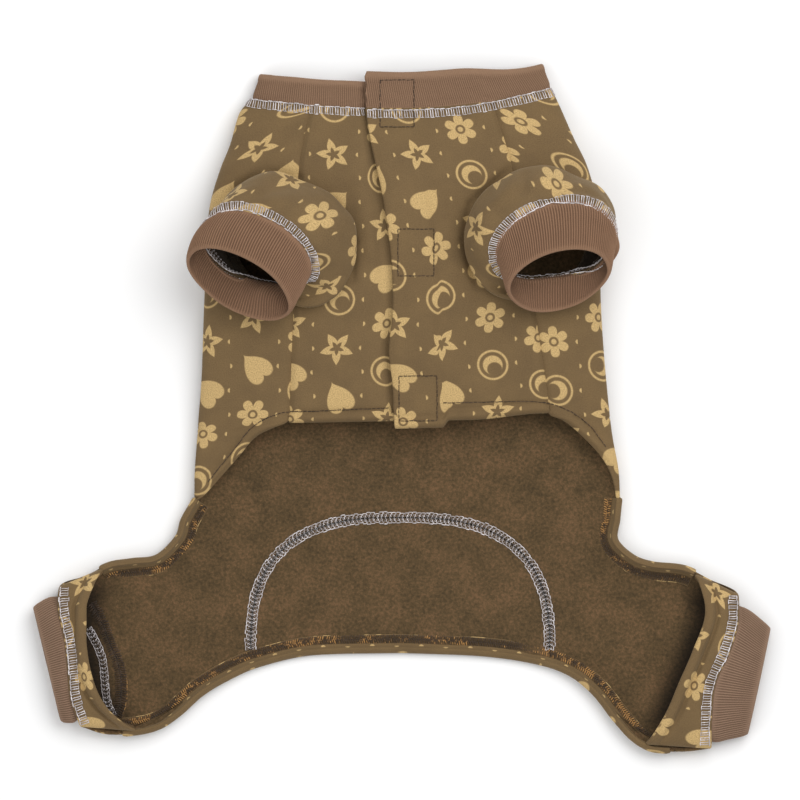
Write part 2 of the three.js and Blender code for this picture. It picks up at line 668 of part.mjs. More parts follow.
// Collar: one band from under the flap round the neck to the flap edge
function collarRow(share) {
  const y = NECK_SEAM_Y;
  const section = sectionAt(y);
  const height = THREE.MathUtils.lerp(section.height, COLLAR_RIM_HEIGHT, share);
  const middle = (section.left + section.right) / 2;
  const halfWidth = ((section.right - section.left) / 2) * (1 - COLLAR_TAPER * share);
  const flapX = flapEdgeX(y);
  const bandY = (x) => y + neckBend(x, y) + SEAM_GAP / 2 + COLLAR_LENGTH * share;
  const top = (x) => {
    const off = Math.min(Math.abs(x - middle) / halfWidth, 1);
    return (height / 2) * (1 + Math.sqrt(1 - off ** 3));
  };
  const bottom = (x) => {
    const roll = (EDGE_ROLL * height) / 2;
    const off = THREE.MathUtils.clamp(1 - (halfWidth - Math.abs(x - middle)) / roll, 0, 1);
    return (height / 2) * (1 - Math.sqrt(1 - off * off));
  };
  const path = [];
  const add = (from, to, easeAtEnd, heightAt) => {
    for (let i = 0; i <= EDGE_SAMPLES; i += 1) {
      const t = i / EDGE_SAMPLES;
      const eased = easeAtEnd ? 1 - (1 - t) ** 2 : t * t;
      const x = THREE.MathUtils.lerp(from, to, eased);
      path.push(new THREE.Vector3(x, bandY(x), heightAt(x)));
    }
  };
  const dropped = (x) => {
    const step = THREE.MathUtils.smoothstep(x, flapX - LAP_RAMP, flapX - 1);
    return top(x) - step * (stackHeight - FLAP_RAISE);
  };
  const raised = (x) => {
    const lapEnd = flapX + LAP;
    return top(x) + FLAP_RAISE * (1 - THREE.MathUtils.smoothstep(x, lapEnd, lapEnd + LAP_RAMP));
  };
  add(flapX + LAP, middle - halfWidth, true, dropped);
  add(middle - halfWidth, middle, false, bottom);
  add(middle, middle + halfWidth, true, bottom);
  add(middle + halfWidth, flapX, false, raised);
  return resample(path, COLLAR_COLUMNS);
}

// Hind legs: the tube's upper half, from its front fold over the top to its rear fold
function legFront(side) {
  const edge = side === "left" ? LEFT_LEG_EDGE : RIGHT_LEG_EDGE;
  const sign = side === "left" ? -1 : 1;
  const grid = [];
  for (let b = 0; b <= LEG_BANDS; b += 1) {
    const inward = b / LEG_BANDS;
    const row = [];
    for (let i = 0; i <= LEG_COLUMNS; i += 1) {
      const angle = (Math.PI * i) / LEG_COLUMNS;
      const over = (1 - Math.cos(angle)) / 2;
      const seam = cuffSeamPoint(side, over);
      const bodySide = new THREE.Vector2(
        acrossToX(read(edge, "over", "across", over)),
        downToY(read(edge, "over", "down", over)),
      );
      seam.x -= (sign * SEAM_GAP) / 2;
      const at = seam.lerp(bodySide, inward);
      const arch = Math.sin(angle) ** LEG_FLATNESS;
      const lift = LEG_LIFT + LEG_FOLD_GAP;
      const rise = LEG_HEIGHT - lift + LEG_ROLL_RISE * inward;
      row.push(new THREE.Vector3(at.x, at.y, lift + rise * arch));
    }
    grid.push(row);
  }
  return clothWall(grid, WALL, { flip: side === "right" });
}

// A point of the seam between hind leg and cuff, from the front fold (0) to the rear fold (1)
function cuffSeamPoint(side, over) {
  const row = lowerRow(CUFF_CORNER_ROW + over * (TAIL_ROW - CUFF_CORNER_ROW));
  return lowerRowPoint(row, side, 1);
}

function hindCuff(side) {
  const sign = side === "left" ? -1 : 1;
  const end = HIND_CUFF_ENDS[side];
  const front = new THREE.Vector2(acrossToX(end.front.across), downToY(end.front.down));
  const rear = new THREE.Vector2(acrossToX(end.rear.across), downToY(end.rear.down));
  const half = RING_SIDES / 2;
  const rings = [];
  for (let b = 0; b <= HIND_CUFF_BANDS; b += 1) {
    const outward = b / HIND_CUFF_BANDS;
    const height = THREE.MathUtils.lerp(LEG_HEIGHT - LEG_FOLD_GAP, HIND_CUFF_HEIGHT, outward);
    const ring = [];
    for (let i = 0; i < RING_SIDES; i += 1) {
      const isUpper = i < half;
      const angle = (Math.PI * (isUpper ? i : RING_SIDES - i)) / half;
      const over = (1 - Math.cos(angle)) / 2;
      const inner = cuffSeamPoint(side, THREE.MathUtils.lerp(HIND_CUFF_INSET, 1 - HIND_CUFF_INSET, over));
      inner.x += sign * HIND_CUFF_GAP;
      const at = inner.lerp(front.clone().lerp(rear, over), outward);
      const swell = Math.sin(angle) ** LEG_FLATNESS;
      const z = (height / 2) * (isUpper ? 1 + swell : 1 - swell);
      ring.push(new THREE.Vector3(at.x, at.y, z));
    }
    rings.push(ring);
  }
  return clothWall(rings, CUFF_WALL, { isTube: true, flip: side === "left" });
}

// Turned-in hem: a strip that lies on the inside of the back panel along its edge. The edge
// points run with the panel on their left.
function hemStrip(edgePoints) {
  const grid = [];
  for (let i = 0; i < edgePoints.length; i += 1) {
    const before = edgePoints[Math.max(i - 1, 0)];
    const after = edgePoints[Math.min(i + 1, edgePoints.length - 1)];
    const inward = new THREE.Vector2(before.y - after.y, after.x - before.x).normalize();
    const row = [];
    for (let j = 0; j <= HEM_COLUMNS; j += 1) {
      const from = HEM_SETBACK + (HEM_WIDTH * j) / HEM_COLUMNS;
      const at = edgePoints[i].clone().addScaledVector(inward, from);
      row.push(new THREE.Vector3(at.x, at.y, lowerZ(at.x, at.y)));
    }
    grid.push(row);
  }
  return clothWall(grid, HEM_THICKNESS, { offset: WALL + HEM_CLEARANCE });
}

function sideHem(side) {
  const points = [];
  for (let i = 0; i <= HEM_STEPS; i += 1) {
    points.push(lowerRowPoint(lowerRow((SIDE_HEM_LAST_ROW * i) / HEM_STEPS), side, 1));
  }
  return hemStrip(side === "left" ? points : points.reverse());
}

function tailHem() {
  const points = [];
  for (let i = -HEM_STEPS; i <= HEM_STEPS; i += 1) {
    const side = i < 0 ? "left" : "right";
    points.push(lowerRowPoint(lowerRow(TAIL_ROW), side, (TAIL_HEM_END * Math.abs(i)) / HEM_STEPS));
  }
  return hemStrip(points);
}

const shapes = {
  back: clothWall(backGrid(), WALL),
  leftBelly: bellyPanel(leftSeamX, (y) => flapEdgeX(y) + LAP, underLapZ),
  rightBelly: bellyPanel(flapEdgeX, rightSeamX, flapZ),
};

const plugs = { left: armholePlug(SLEEVES.left), right: armholePlug(SLEEVES.right) };
const back = toSolid(shapes.back).subtract(plugs.left).subtract(plugs.right);

const garment = new THREE.Group();

function addPiece(name, geometry, material) {
  const mesh = new THREE.Mesh(geometry, material);
  mesh.name = name;
  garment.add(mesh);
}

addPiece("back_panel", toGeometry(back.subtract(rumpTool(SEAM_GAP))), FLEECE_PRINT);
addPiece("rump_panel", toGeometry(back.intersect(rumpTool(0))), FLEECE_PRINT);
addPiece("chest_panel_left", toGeometry(toSolid(shapes.leftBelly).subtract(plugs.left)), FLEECE_PRINT);
addPiece("chest_panel_right", toGeometry(toSolid(shapes.rightBelly).subtract(plugs.right)), FLEECE_PRINT);
addPiece("collar_rib", clothWall([0, 0.5, 1].map(collarRow), COLLAR_WALL, { flip: true }), RIB_KNIT);
for (const side of ["left", "right"]) {
  addPiece(`front_sleeve_${side}`, frontSleeve(SLEEVES[side]), FLEECE_PRINT);
  addPiece(`front_cuff_${side}`, frontCuff(SLEEVES[side]), RIB_KNIT);
  addPiece(`hind_leg_front_${side}`, legFront(side), FLEECE_PRINT);
  addPiece(`hind_cuff_${side}`, hindCuff(side), RIB_KNIT);
  addPiece(`side_hem_${side}`, sideHem(side), FLEECE_PRINT);
}
addPiece("tail_hem", tailHem(), FLEECE_PRINT);
for (const place of HOOK_PLACES) addPiece(place.name, hookPatch(place.down), HOOK_TAPE);

export default garment;
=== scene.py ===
"""Printed fleece dog jumpsuit lying belly up: its cloth, ribs and stitching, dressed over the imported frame.

Everything is worked out in millimetres and turned to metres when a mesh is made.
"""

import logging
import math
from dataclasses import dataclass, field
from enum import Enum
from typing import Any, Callable, Sequence

import bpy
import numpy as np
from mathutils import Euler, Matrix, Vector
from mathutils.bvhtree import BVHTree
from mathutils.kdtree import KDTree


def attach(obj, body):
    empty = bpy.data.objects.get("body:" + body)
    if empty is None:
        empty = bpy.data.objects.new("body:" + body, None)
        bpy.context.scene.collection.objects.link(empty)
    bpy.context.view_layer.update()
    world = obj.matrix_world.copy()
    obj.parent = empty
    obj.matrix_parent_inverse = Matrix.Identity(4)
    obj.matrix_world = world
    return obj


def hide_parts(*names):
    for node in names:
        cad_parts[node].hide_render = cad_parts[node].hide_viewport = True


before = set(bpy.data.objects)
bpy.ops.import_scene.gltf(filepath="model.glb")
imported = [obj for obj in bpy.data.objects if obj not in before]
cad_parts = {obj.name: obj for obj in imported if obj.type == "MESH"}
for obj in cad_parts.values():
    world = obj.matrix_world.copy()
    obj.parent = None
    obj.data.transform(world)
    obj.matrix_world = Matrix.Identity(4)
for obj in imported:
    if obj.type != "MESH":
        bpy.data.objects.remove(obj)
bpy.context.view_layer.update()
bpy.ops.object.select_all(action="DESELECT")

log = logging.getLogger("jumpsuit")
MM = 0.001
PIXEL = 0.55  # millimetres on the floor for each pixel of the 800 x 800 view
ORIGIN_PIXEL = (402, 409)
OFF_FLOOR = 0.05  # the least height of a cloth's outer skin, in millimetres
Grid = np.ndarray


class Side(Enum):
    """The two sides of the garment as the camera sees them."""

    LEFT = "left"
    RIGHT = "right"

    @property
    def sign(self) -> int:
        """Direction of the side along X."""
        return -1 if self is Side.LEFT else 1


@dataclass(frozen=True)
class Table:
    """Listed shares of the named sizes. The first column is what the others are read by."""

    columns: tuple[str, ...]
    rows: tuple[tuple[float, ...], ...]

    def read(self, column: str, at: float | Grid) -> Grid:
        """Reads a smooth curve through one column.

        Args:
            column: name of the column.
            at: places along the first column.

        Returns:
            The column's value at each place.
        """
        data = np.array(self.rows, dtype=float)
        keys, values = data[:, 0], data[:, self.columns.index(column)]
        last = len(keys) - 1
        at = np.asarray(at, dtype=float)
        i = np.minimum(np.searchsorted(keys[1:], at, side="left"), last - 1)
        span = keys[i + 1] - keys[i]
        t = np.clip((at - keys[i]) / span, 0, 1)
        low = np.maximum(np.arange(last + 1) - 1, 0)
        high = np.minimum(np.arange(last + 1) + 1, last)
        slope = (values[high] - values[low]) / (keys[high] - keys[low])
        limit = 3 * np.abs(values[i + 1] - values[i]) / span
        start = np.clip(slope[i], -limit, limit)
        end = np.clip(slope[i + 1], -limit, limit)
        return (
            (2 * t**3 - 3 * t**2 + 1) * values[i]
            + (t**3 - 2 * t**2 + t) * span * start
            + (3 * t**2 - 2 * t**3) * values[i + 1]
            + (t**3 - t**2) * span * end
        )


def smoothstep(x: float | Grid, low: float | Grid, high: float | Grid) -> Grid:
    """Eases from 0 at low to 1 at high."""
    t = np.clip((np.asarray(x, dtype=float) - low) / (high - low), 0, 1)
    return t * t * (3 - 2 * t)


def smoothed(values: Grid, count: int) -> Grid:
    """Averages each value with its neighbours, so many in all."""
    return np.convolve(np.pad(values, count // 2, mode="edge"), np.ones(count) / count, mode="valid")


def in_view(px: float | Grid, py: float | Grid) -> Grid:
    """Turns a place in the 800 x 800 camera view into millimetres on the floor."""
    across, down = ORIGIN_PIXEL
    return np.stack([(np.asarray(px, float) - across) * PIXEL, (down - np.asarray(py, float)) * PIXEL], axis=-1)


def bell(x: float | Grid, middle: float | Grid, width: float) -> Grid:
    """A smooth hump: 1 at the middle and nearly 0 two widths away."""
    return np.exp(-(((x - middle) / width) ** 2))


def turned_by(angles: Grid, start: float) -> Grid:
    """Turns angles into how far they are from a start, between minus and plus half a turn."""
    return (angles - start + math.pi) % math.tau - math.pi


def lengths_along(path: Grid) -> Grid:
    """Measures how far each point of a path is from its start."""
    return np.concatenate([[0], np.cumsum(np.linalg.norm(np.diff(path, axis=0), axis=1))])


def smooth_path(points: Grid, count: int) -> Grid:
    """Lays a smooth curve through a few points.

    Args:
        points: the points, one row each.
        count: how many points the curve gets.

    Returns:
        The curve's points, evenly spaced.
    """
    points = np.asarray(points, dtype=float)
    padded = np.vstack([2 * points[0] - points[1], points, 2 * points[-1] - points[-2]])
    t = np.linspace(0, len(points) - 1, 24 * len(points))
    i = np.minimum(t.astype(int), len(points) - 2)
    f = (t - i)[:, None]
    a, b, c, d = (padded[i + k] for k in range(4))
    fine = 0.5 * (2 * b + (c - a) * f + (2 * a - 5 * b + 4 * c - d) * f**2 + (3 * b - a - 3 * c + d) * f**3)
    return resample(fine, count)


def resample(path: Grid, count: int, crowding: float = 1.0) -> Grid:
    """Spaces points along a path.

    Args:
        path: fine path, one point a row.
        count: how many points to return.
        crowding: 1 is even, more brings the points closer together at the start.

    Returns:
        The new points.
    """
    lengths = lengths_along(path)
    want = lengths[-1] * np.linspace(0, 1, count) ** crowding
    return np.stack([np.interp(want, lengths, path[:, k]) for k in range(path.shape[1])], axis=1)


def traced(places: Sequence[tuple[float, float]], count: int) -> Grid:
    """Lays a smooth line through places in the view, in millimetres on the floor."""
    return smooth_path(in_view(*np.array(places, float).T), count)


@dataclass(frozen=True)
class Ripples:
    """Soft seeded waves, as cloth has where it isn't stretched."""

    seed: int
    shortest: float
    longest: float
    count: int = 22

    def at(self, x: Grid, y: Grid) -> Grid:
        """Adds up the waves.

        Args:
            x: places across, in millimetres.
            y: places along.

        Returns:
            The height at each place, mostly between -1 and 1.
        """
        rng = np.random.default_rng(self.seed)
        angle = rng.uniform(0, math.pi, self.count)
        wave = math.tau / rng.uniform(self.shortest, self.longest, self.count)
        phase = rng.uniform(0, math.tau, self.count)
        total = np.zeros_like(np.asarray(x, dtype=float))
        for a, w, p in zip(angle, wave, phase):
            total += np.sin(w * (x * math.cos(a) + y * math.sin(a)) + p)
        return total / math.sqrt(2 * self.count)


@dataclass(frozen=True)
class Crease:
    """One soft fold of the cloth between two places in the view, a ridge or, below 0, a valley."""

    start: tuple[float, float]
    end: tuple[float, float]
    width: float
    height: float

    def at(self, x: Grid, y: Grid) -> Grid:
        """Measures the fold.

        Args:
            x: places across, in millimetres.
            y: places along.

        Returns:
            The fold's height at each place.
        """
        a, b = in_view(*self.start), in_view(*self.end)
        along = b - a
        length = float(np.hypot(*along))
        t = ((x - a[0]) * along[0] + (y - a[1]) * along[1]) / length**2
        off = ((x - a[0]) * -along[1] + (y - a[1]) * along[0]) / length
        over = np.maximum(np.abs(t - 0.5) - 0.5, 0) * length
        ends = np.sin(math.pi * np.clip(t, 0, 1)) ** 0.5
        return self.height * ends * np.exp(-((off / self.width) ** 2) - (over / self.width) ** 2)


@dataclass
class Body:
    """The flattened body's shape, which every piece of cloth follows."""

    chest_half_width: float = 114
    chest_height: float = 34
    back_length: float = 301
    neck_seam_y: float = 168.1
    neck_left_rise: float = 2
    neck_right_rise: float = 8
    neck_middle_dip: float = 3
    neck_bend_fade: float = 60
    edge_roll: float = 1.35
    leg_lift: float = 9
    tail_lift: float = 4
    cuff_corner_row: int = 7
    sections: Table = Table(
        ("down", "left", "right", "height"),
        (
            (0, 0.729, 0.719, 0.56), (0.022, 0.782, 0.753, 0.62), (0.08, 0.83, 0.83, 0.78),
            (0.124, 0.878, 0.893, 0.9), (0.185, 0.926, 0.941, 0.97), (0.249, 0.941, 0.955, 1),
            (0.367, 0.955, 0.96, 0.96), (0.46, 0.963, 0.975, 0.82), (0.519, 0.97, 0.989, 0.7),
            (0.578, 0.983, 1.005, 0.58), (0.614, 0.989, 1.018, 0.55), (0.671, 1, 1.045, 0.53),
            (0.724, 1.003, 1.052, 0.53),
        ),
    )
    princess: Table = Table(
        ("down", "left", "right"),
        (
            (0, 0.439, 0.434), (0.102, 0.492, 0.521), (0.203, 0.511, 0.579),
            (0.4, 0.526, 0.651), (0.534, 0.54, 0.704), (0.583, 0.545, 0.709),
        ),
    )
    left_rim: Table = Table(
        ("down", "side"),
        ((0.583, 0.545), (0.59, 0.6), (0.609, 0.704), (0.642, 0.782), (0.671, 0.85), (0.706, 0.935), (0.724, 0.985)),
    )
    right_rim: Table = Table(
        ("down", "side"),
        ((0.57, 0.709), (0.58, 0.78), (0.611, 0.878), (0.653, 0.98), (0.687, 1.025), (0.724, 1.045)),
    )
    belly_hem: Table = Table(
        ("across", "down"),
        ((-0.545, 0.583), (-0.4, 0.583), (-0.03, 0.579), (0.17, 0.577), (0.4, 0.566), (0.709, 0.57)),
    )
    flap_edge: Table = Table(
        ("down", "across"),
        (
            (0, -0.169), (0.07, -0.14), (0.185, -0.082), (0.293, -0.043),
            (0.382, -0.039), (0.452, -0.058), (0.519, -0.039), (0.583, -0.029),
        ),
    )
    lower_rows: Table = Table(
        ("row", "left_across", "left_down", "middle_down", "right_across", "right_down"),
        (
            (0, -1.003, 0.724, 0.724, 1.052, 0.724), (1, -1.057, 0.761, 0.752, 1.042, 0.761),
            (2, -1.086, 0.793, 0.779, 1.032, 0.797), (3, -1.182, 0.828, 0.806, 1.114, 0.828),
            (4, -1.298, 0.835, 0.83, 1.211, 0.841), (5, -1.414, 0.842, 0.852, 1.365, 0.848),
            (6, -1.525, 0.863, 0.87, 1.486, 0.87), (7, -1.65, 0.881, 0.885, 1.621, 0.896),
            (8, -1.655, 0.925, 0.901, 1.621, 0.943), (9, -1.626, 0.98, 0.921, 1.58, 1),
            (10, -1.611, 1.035, 0.943, 1.51, 1.06), (11, -1.597, 1.086, 0.969, 1.489, 1.125),
            (12, -1.549, 1.139, 1, 1.486, 1.179),
        ),
    )
    row_bend: Table = Table(
        ("out", "left", "right"),
        (
            (0, 0, 0), (0.28, 0.03, 0.04), (0.455, 0.2, 0.131), (0.554, 0.39, 0.253), (0.628, 0.585, 0.45),
            (0.69, 0.82, 0.7), (0.752, 1, 0.91), (0.82, 1.08, 1.02), (0.92, 1.1, 1.03), (1, 1, 1),
        ),
    )

    def __post_init__(self) -> None:
        """Finds the outline of the footprint, with how far each edge stands off the floor.

        The outline is six lines: a side, a leg's front and the tail edge, on the left and then on the right.
        """
        self.lower_start = self.lower_rows.rows[0][2]
        self.tail_row = len(self.lower_rows.rows) - 1
        points, lifts = [], []
        share = np.linspace(0, 1, 500)
        for side in Side:
            y = self.down_to_y(self.lower_start * share)
            left, right, height = self.section(y)
            points.append(np.stack([left if side is Side.LEFT else right, y], axis=1))
            lifts.append(height / 2)
            points.append(self.lower_point(self.cuff_corner_row * share, side, 1.0))
            lifts.append(height[-1] / 2 + (self.leg_lift - height[-1] / 2) * share)
            points.append(self.lower_point(np.full_like(share, self.tail_row), side, share))
            lifts.append(self.tail_lift + (self.leg_lift - self.tail_lift) * smoothstep(share, 0.35, 0.75))
        inward = []
        for k, part in enumerate(points):
            way = np.gradient(part, axis=0)
            way = np.stack([smoothed(way[:, i], 41) for i in (0, 1)], axis=1)
            turned = unit(np.stack([-way[:, 1], way[:, 0]], axis=1))
            side = -1 if k < 3 else 1
            goal = np.array([0.0, 1.0]) if k % 3 == 2 else np.array([-side, 0.0])
            inward.append(turned * np.where(turned @ goal >= 0, 1, -1)[:, None])
        self.outline_inward = np.vstack(inward)
        self.outline = np.vstack(points)
        self.outline_lift = np.concatenate(lifts)
        self.nearest = KDTree(len(self.outline))
        for i, (x, y) in enumerate(self.outline):
            self.nearest.insert((x, y, 0), i)
        self.nearest.balance()

    def down_to_y(self, share: float | Grid) -> Grid:
        """Y of a share of the back length."""
        return self.neck_seam_y - np.asarray(share) * self.back_length

    def y_to_down(self, y: float | Grid) -> Grid:
        """Share of the back length at a Y."""
        return (self.neck_seam_y - np.asarray(y)) / self.back_length

    def section(self, y: Grid) -> tuple[Grid, Grid, Grid]:
        """Measures the body along Y.

        Args:
            y: places along the garment.

        Returns:
            X of the left fold, X of the right fold, and the height.
        """
        down = np.clip(self.y_to_down(y), 0, self.lower_start)
        width = self.chest_half_width
        return (
            -width * self.sections.read("left", down),
            width * self.sections.read("right", down),
            self.chest_height * self.sections.read("height", down),
        )

    def upper_z(self, x: Grid, y: Grid) -> Grid:
        """Finds the upper skin of the body: a flattened tube, highest in the middle.

        Args:
            x: places across.
            y: places along.

        Returns:
            The skin's height at each place.
        """
        left, right, height = self.section(y)
        share = np.minimum(np.abs((2 * x - left - right) / (right - left)), 1)
        return height / 2 * (1 + np.sqrt(1 - share**3))

    def neck_bend(self, x: Grid, y: Grid) -> Grid:
        """Bends the rows near the neck.

        Args:
            x: places across.
            y: places along.

        Returns:
            How far each place moves along Y.
        """
        left, right, _ = self.section(y)
        share = (2 * x - left - right) / (right - left)
        fade = np.maximum(0, 1 - (self.neck_seam_y - y) / self.neck_bend_fade)
        rise = np.where(share < 0, self.neck_left_rise, self.neck_right_rise)
        return fade * (share * share * (rise + self.neck_middle_dip) - self.neck_middle_dip)

    def lower_point(self, row: Grid, side: Side, out: float | Grid) -> Grid:
        """Finds places on a row of the lower body.

        Args:
            row: place along the table of rows.
            side: which half.
            out: 0 in the middle of the row, 1 at its end.

        Returns:
            X and Y of each place.
        """
        name = side.value
        end = self.lower_rows.read(name + "_across", row)
        middle = self.lower_rows.read("middle_down", row)
        drop = self.lower_rows.read(name + "_down", row) - middle
        bend = self.row_bend.read(name, out)
        return np.stack([self.chest_half_width * end * out, self.down_to_y(middle + drop * bend)], axis=-1)

    def edge_share(self, x: Grid, y: Grid) -> tuple[Grid, Grid]:
        """Finds how near the outline each place is.

        Args:
            x: places across.
            y: places along.

        Returns:
            Number of the nearest point of the outline, and the share of the rolled edge: 0 inside it, 1 at its end.
        """
        found = np.array([self.nearest.find((a, b, 0))[1:] for a, b in zip(np.ravel(x), np.ravel(y))])
        near = found[:, 0].astype(int)
        return near, np.clip(1 - found[:, 1] / (self.edge_roll * self.outline_lift[near]), 0, 1)

    def lower_z(self, x: Grid, y: Grid) -> Grid:
        """Height of the lower skin: flat on the floor and rolled up along the outline."""
        near, share = self.edge_share(x, y)
        return (self.outline_lift[near] * (1 - np.sqrt(1 - share * share))).reshape(np.shape(x))

    def lower_normals(self, x: Grid, y: Grid) -> Grid:
        """Finds the normals of the lower skin.

        Args:
            x: places across.
            y: places along.

        Returns:
            Normals that point into the garment.
        """
        near, share = self.edge_share(x, y)
        level = self.outline_inward[near] * (share / self.edge_roll)[:, None]
        return unit(np.column_stack([level, np.sqrt(1 - share * share)])).reshape(*np.shape(x), 3)

    def seam_x(self, side: Side, y: Grid, gap: float) -> Grid:
        """X of a princess seam, on the belly side of its gap."""
        share = self.princess.read(side.value, self.y_to_down(y))
        return side.sign * (share * self.chest_half_width - gap)

    def flap_x(self, y: Grid) -> Grid:
        """X of the flap's free edge."""
        return self.chest_half_width * self.flap_edge.read("across", self.y_to_down(y))


def unit(vectors: Grid) -> Grid:
    """Gives each vector the length 1."""
    return vectors / np.maximum(np.linalg.norm(vectors, axis=-1, keepdims=True), 1e-9)


def grid_normals(grid: Grid, is_tube: bool = False) -> Grid:
    """Returns the normals of a grid of points, across x along.

    Args:
        grid: points, rows by columns by 3.
        is_tube: whether the last column meets the first.

    Returns:
        One unit normal for each point.
    """
    along = np.gradient(grid, axis=0)
    across = np.roll(grid, -1, axis=1) - np.roll(grid, 1, axis=1) if is_tube else np.gradient(grid, axis=1)
    return unit(np.cross(across, along))


def outward_normals(grid: Grid) -> Grid:
    """Finds the normals of a tube.

    Args:
        grid: points of its rings, rows by columns by 3.

    Returns:
        Normals that point away from its middle.
    """
    normals = grid_normals(grid, True)
    away = float(np.sum(normals * (grid - grid.mean(axis=1, keepdims=True))))
    return normals * (1 if away > 0 else -1)


def pattern_map(grid: Grid, is_tube: bool = False) -> Grid:
    """Measures a grid along its cloth, for the print.

    Args:
        grid: points, rows by columns by 3.
        is_tube: whether the last column meets the first.

    Returns:
        Two lengths in millimetres for each point, across and along.
    """
    rows, columns = grid.shape[:2]
    steps = np.linalg.norm(np.diff(grid, axis=1), axis=2)
    if is_tube:
        across = np.broadcast_to(np.concatenate([[0], np.cumsum(steps.mean(axis=0))]), (rows, columns))
    else:
        across = np.concatenate([np.zeros((rows, 1)), np.cumsum(steps, axis=1)], axis=1)
        across = across - across[:, columns // 2][:, None]
    down = np.linalg.norm(np.diff(grid, axis=0), axis=2)
    along = np.concatenate([[0], np.cumsum(down.mean(axis=1))])
    return np.stack([across, np.broadcast_to(along[:, None], (rows, columns))], axis=2)


@dataclass
class Cloth:
    """A closed wall of cloth between two grids of points, with a rounded rim.

    From the column raw_from on, its outer skin shows the inside's finish.
    """

    name: str
    outer: Grid
    inner: Grid
    is_tube: bool = False
    rim_steps: int = 3
    shade: Grid | None = None
    pattern: Grid | None = None
    raw_from: int | None = None

    def rim(self, place: tuple, neighbour: tuple) -> list[Grid]:
        """Rounds a rim, from the outer to the inner skin.

        Args:
            place: rows and columns of the rim's points.
            neighbour: rows and columns of the points next to them in the cloth.

        Returns:
            One line of points for each step.
        """
        outer, inner = self.outer[place], self.inner[place]
        middle, half = (outer + inner) / 2, (outer - inner) / 2
        away = unit(middle - (self.outer[neighbour] + self.inner[neighbour]) / 2)
        size = np.linalg.norm(half, axis=-1, keepdims=True)
        angles = [math.pi * k / (self.rim_steps + 1) for k in range(1, self.rim_steps + 1)]
        return [middle + half * math.cos(a) + away * size * math.sin(a) for a in angles]

    def make(self) -> bpy.types.Object:
        """Builds the mesh, with the print's measures as its UV map and the shade as an attribute.

        Returns:
            The new object.
        """
        rows, columns = self.outer.shape[:2]
        skin = rows * columns
        pattern = self.pattern if self.pattern is not None else pattern_map(self.outer, self.is_tube)
        shade = self.shade if self.shade is not None else np.ones((rows, columns))
        points = [self.outer.reshape(-1, 3), self.inner.reshape(-1, 3)]
        uvs = [pattern.reshape(-1, 2)] * 2
        shades = [shade.ravel()] * 2
        faces, inside = [], []
        index = np.arange(skin).reshape(rows, columns)
        right = np.roll(index, -1, axis=1) if self.is_tube else index[:, 1:]
        left = index if self.is_tube else index[:, :-1]
        top = np.stack([left[:-1], right[:-1], right[1:], left[1:]], axis=-1).reshape(-1, 4)
        faces.append(top)
        inside.append((np.arange(len(top)) % left.shape[1] >= (self.raw_from or columns)).astype(int))
        faces.append(top[:, ::-1] + skin)
        inside.append(np.ones(len(top), int))
        if self.is_tube:
            ring = np.arange(columns)
            loops = [(np.zeros(columns, int), ring, 1), (np.full(columns, rows - 1), ring, -1)]
        else:
            border = (
                [(0, c) for c in range(columns)] + [(r, columns - 1) for r in range(1, rows)]
                + [(rows - 1, c) for c in range(columns - 2, -1, -1)] + [(r, 0) for r in range(rows - 2, 0, -1)]
            )
            loops = [(*np.array(border).T, 1)]
        count = 2 * skin
        for r, c, turn in loops:
            near_r = np.clip(r, 1, rows - 2)
            near_c = c if self.is_tube else np.clip(c, 1, columns - 2)
            ring = [index[r, c]]
            for points_k in self.rim((r, c), (near_r, near_c)):
                ring.append(count + np.arange(len(r)))
                points.append(points_k)
                uvs.append(pattern[r, c])
                shades.append(shade[r, c])
                count += len(r)
            ring.append(index[r, c] + skin)
            for k, (a, b) in enumerate(zip(ring, ring[1:])):
                strip = np.stack([np.roll(a, -1), a, b, np.roll(b, -1)], axis=1)
                faces.append(strip[:, ::turn])
                inside.append(np.full(len(strip), int(k > self.rim_steps // 2)))
        return mesh_object(
            self.name, np.vstack(points), np.vstack(faces), np.concatenate(inside),
            np.vstack(uvs), np.concatenate(shades),
        )


def mesh_object(name: str, points: Grid, faces: Grid, inside: Grid, uvs: Grid, shades: Grid) -> bpy.types.Object:
    """Builds a mesh of four-sided faces that point outwards.

    Args:
        name: the piece's name.
        points: in millimetres.
        faces: four point numbers each.
        inside: material number of each face.
        uvs: print measures of each point.
        shades: shade attribute of each point.

    Returns:
        The new object, at the origin.
    """
    a, b, c, d = (points[faces[:, k]] for k in range(4))
    volume = np.einsum("ij,ij->", a, np.cross(b, c)) + np.einsum("ij,ij->", a, np.cross(c, d))
    if volume < 0:
        faces = faces[:, ::-1]
    mesh = bpy.data.meshes.new(name)
    mesh.from_pydata((points * MM).tolist(), [], faces.tolist())
    mesh.polygons.foreach_set("material_index", inside.astype(np.int32))
    mesh.polygons.foreach_set("use_smooth", np.ones(len(faces), bool))
    corner = uvs[faces]
    wide = corner[..., 0].max(axis=1, keepdims=True) - corner[..., 0]
    seam = wide > 0.5 * np.ptp(uvs[:, 0])
    corner[..., 0] += np.where(seam, np.ptp(uvs[:, 0]), 0)
    layer = mesh.uv_layers.new(name="pattern")
    layer.data.foreach_set("uv", corner.reshape(-1).astype(np.float32))
    mesh.attributes.new("shade", "FLOAT", "POINT").data.foreach_set("value", shades.astype(np.float32))
    mesh.update()
    piece = bpy.data.objects.new(name, mesh)
    bpy.context.scene.collection.objects.link(piece)
    return piece


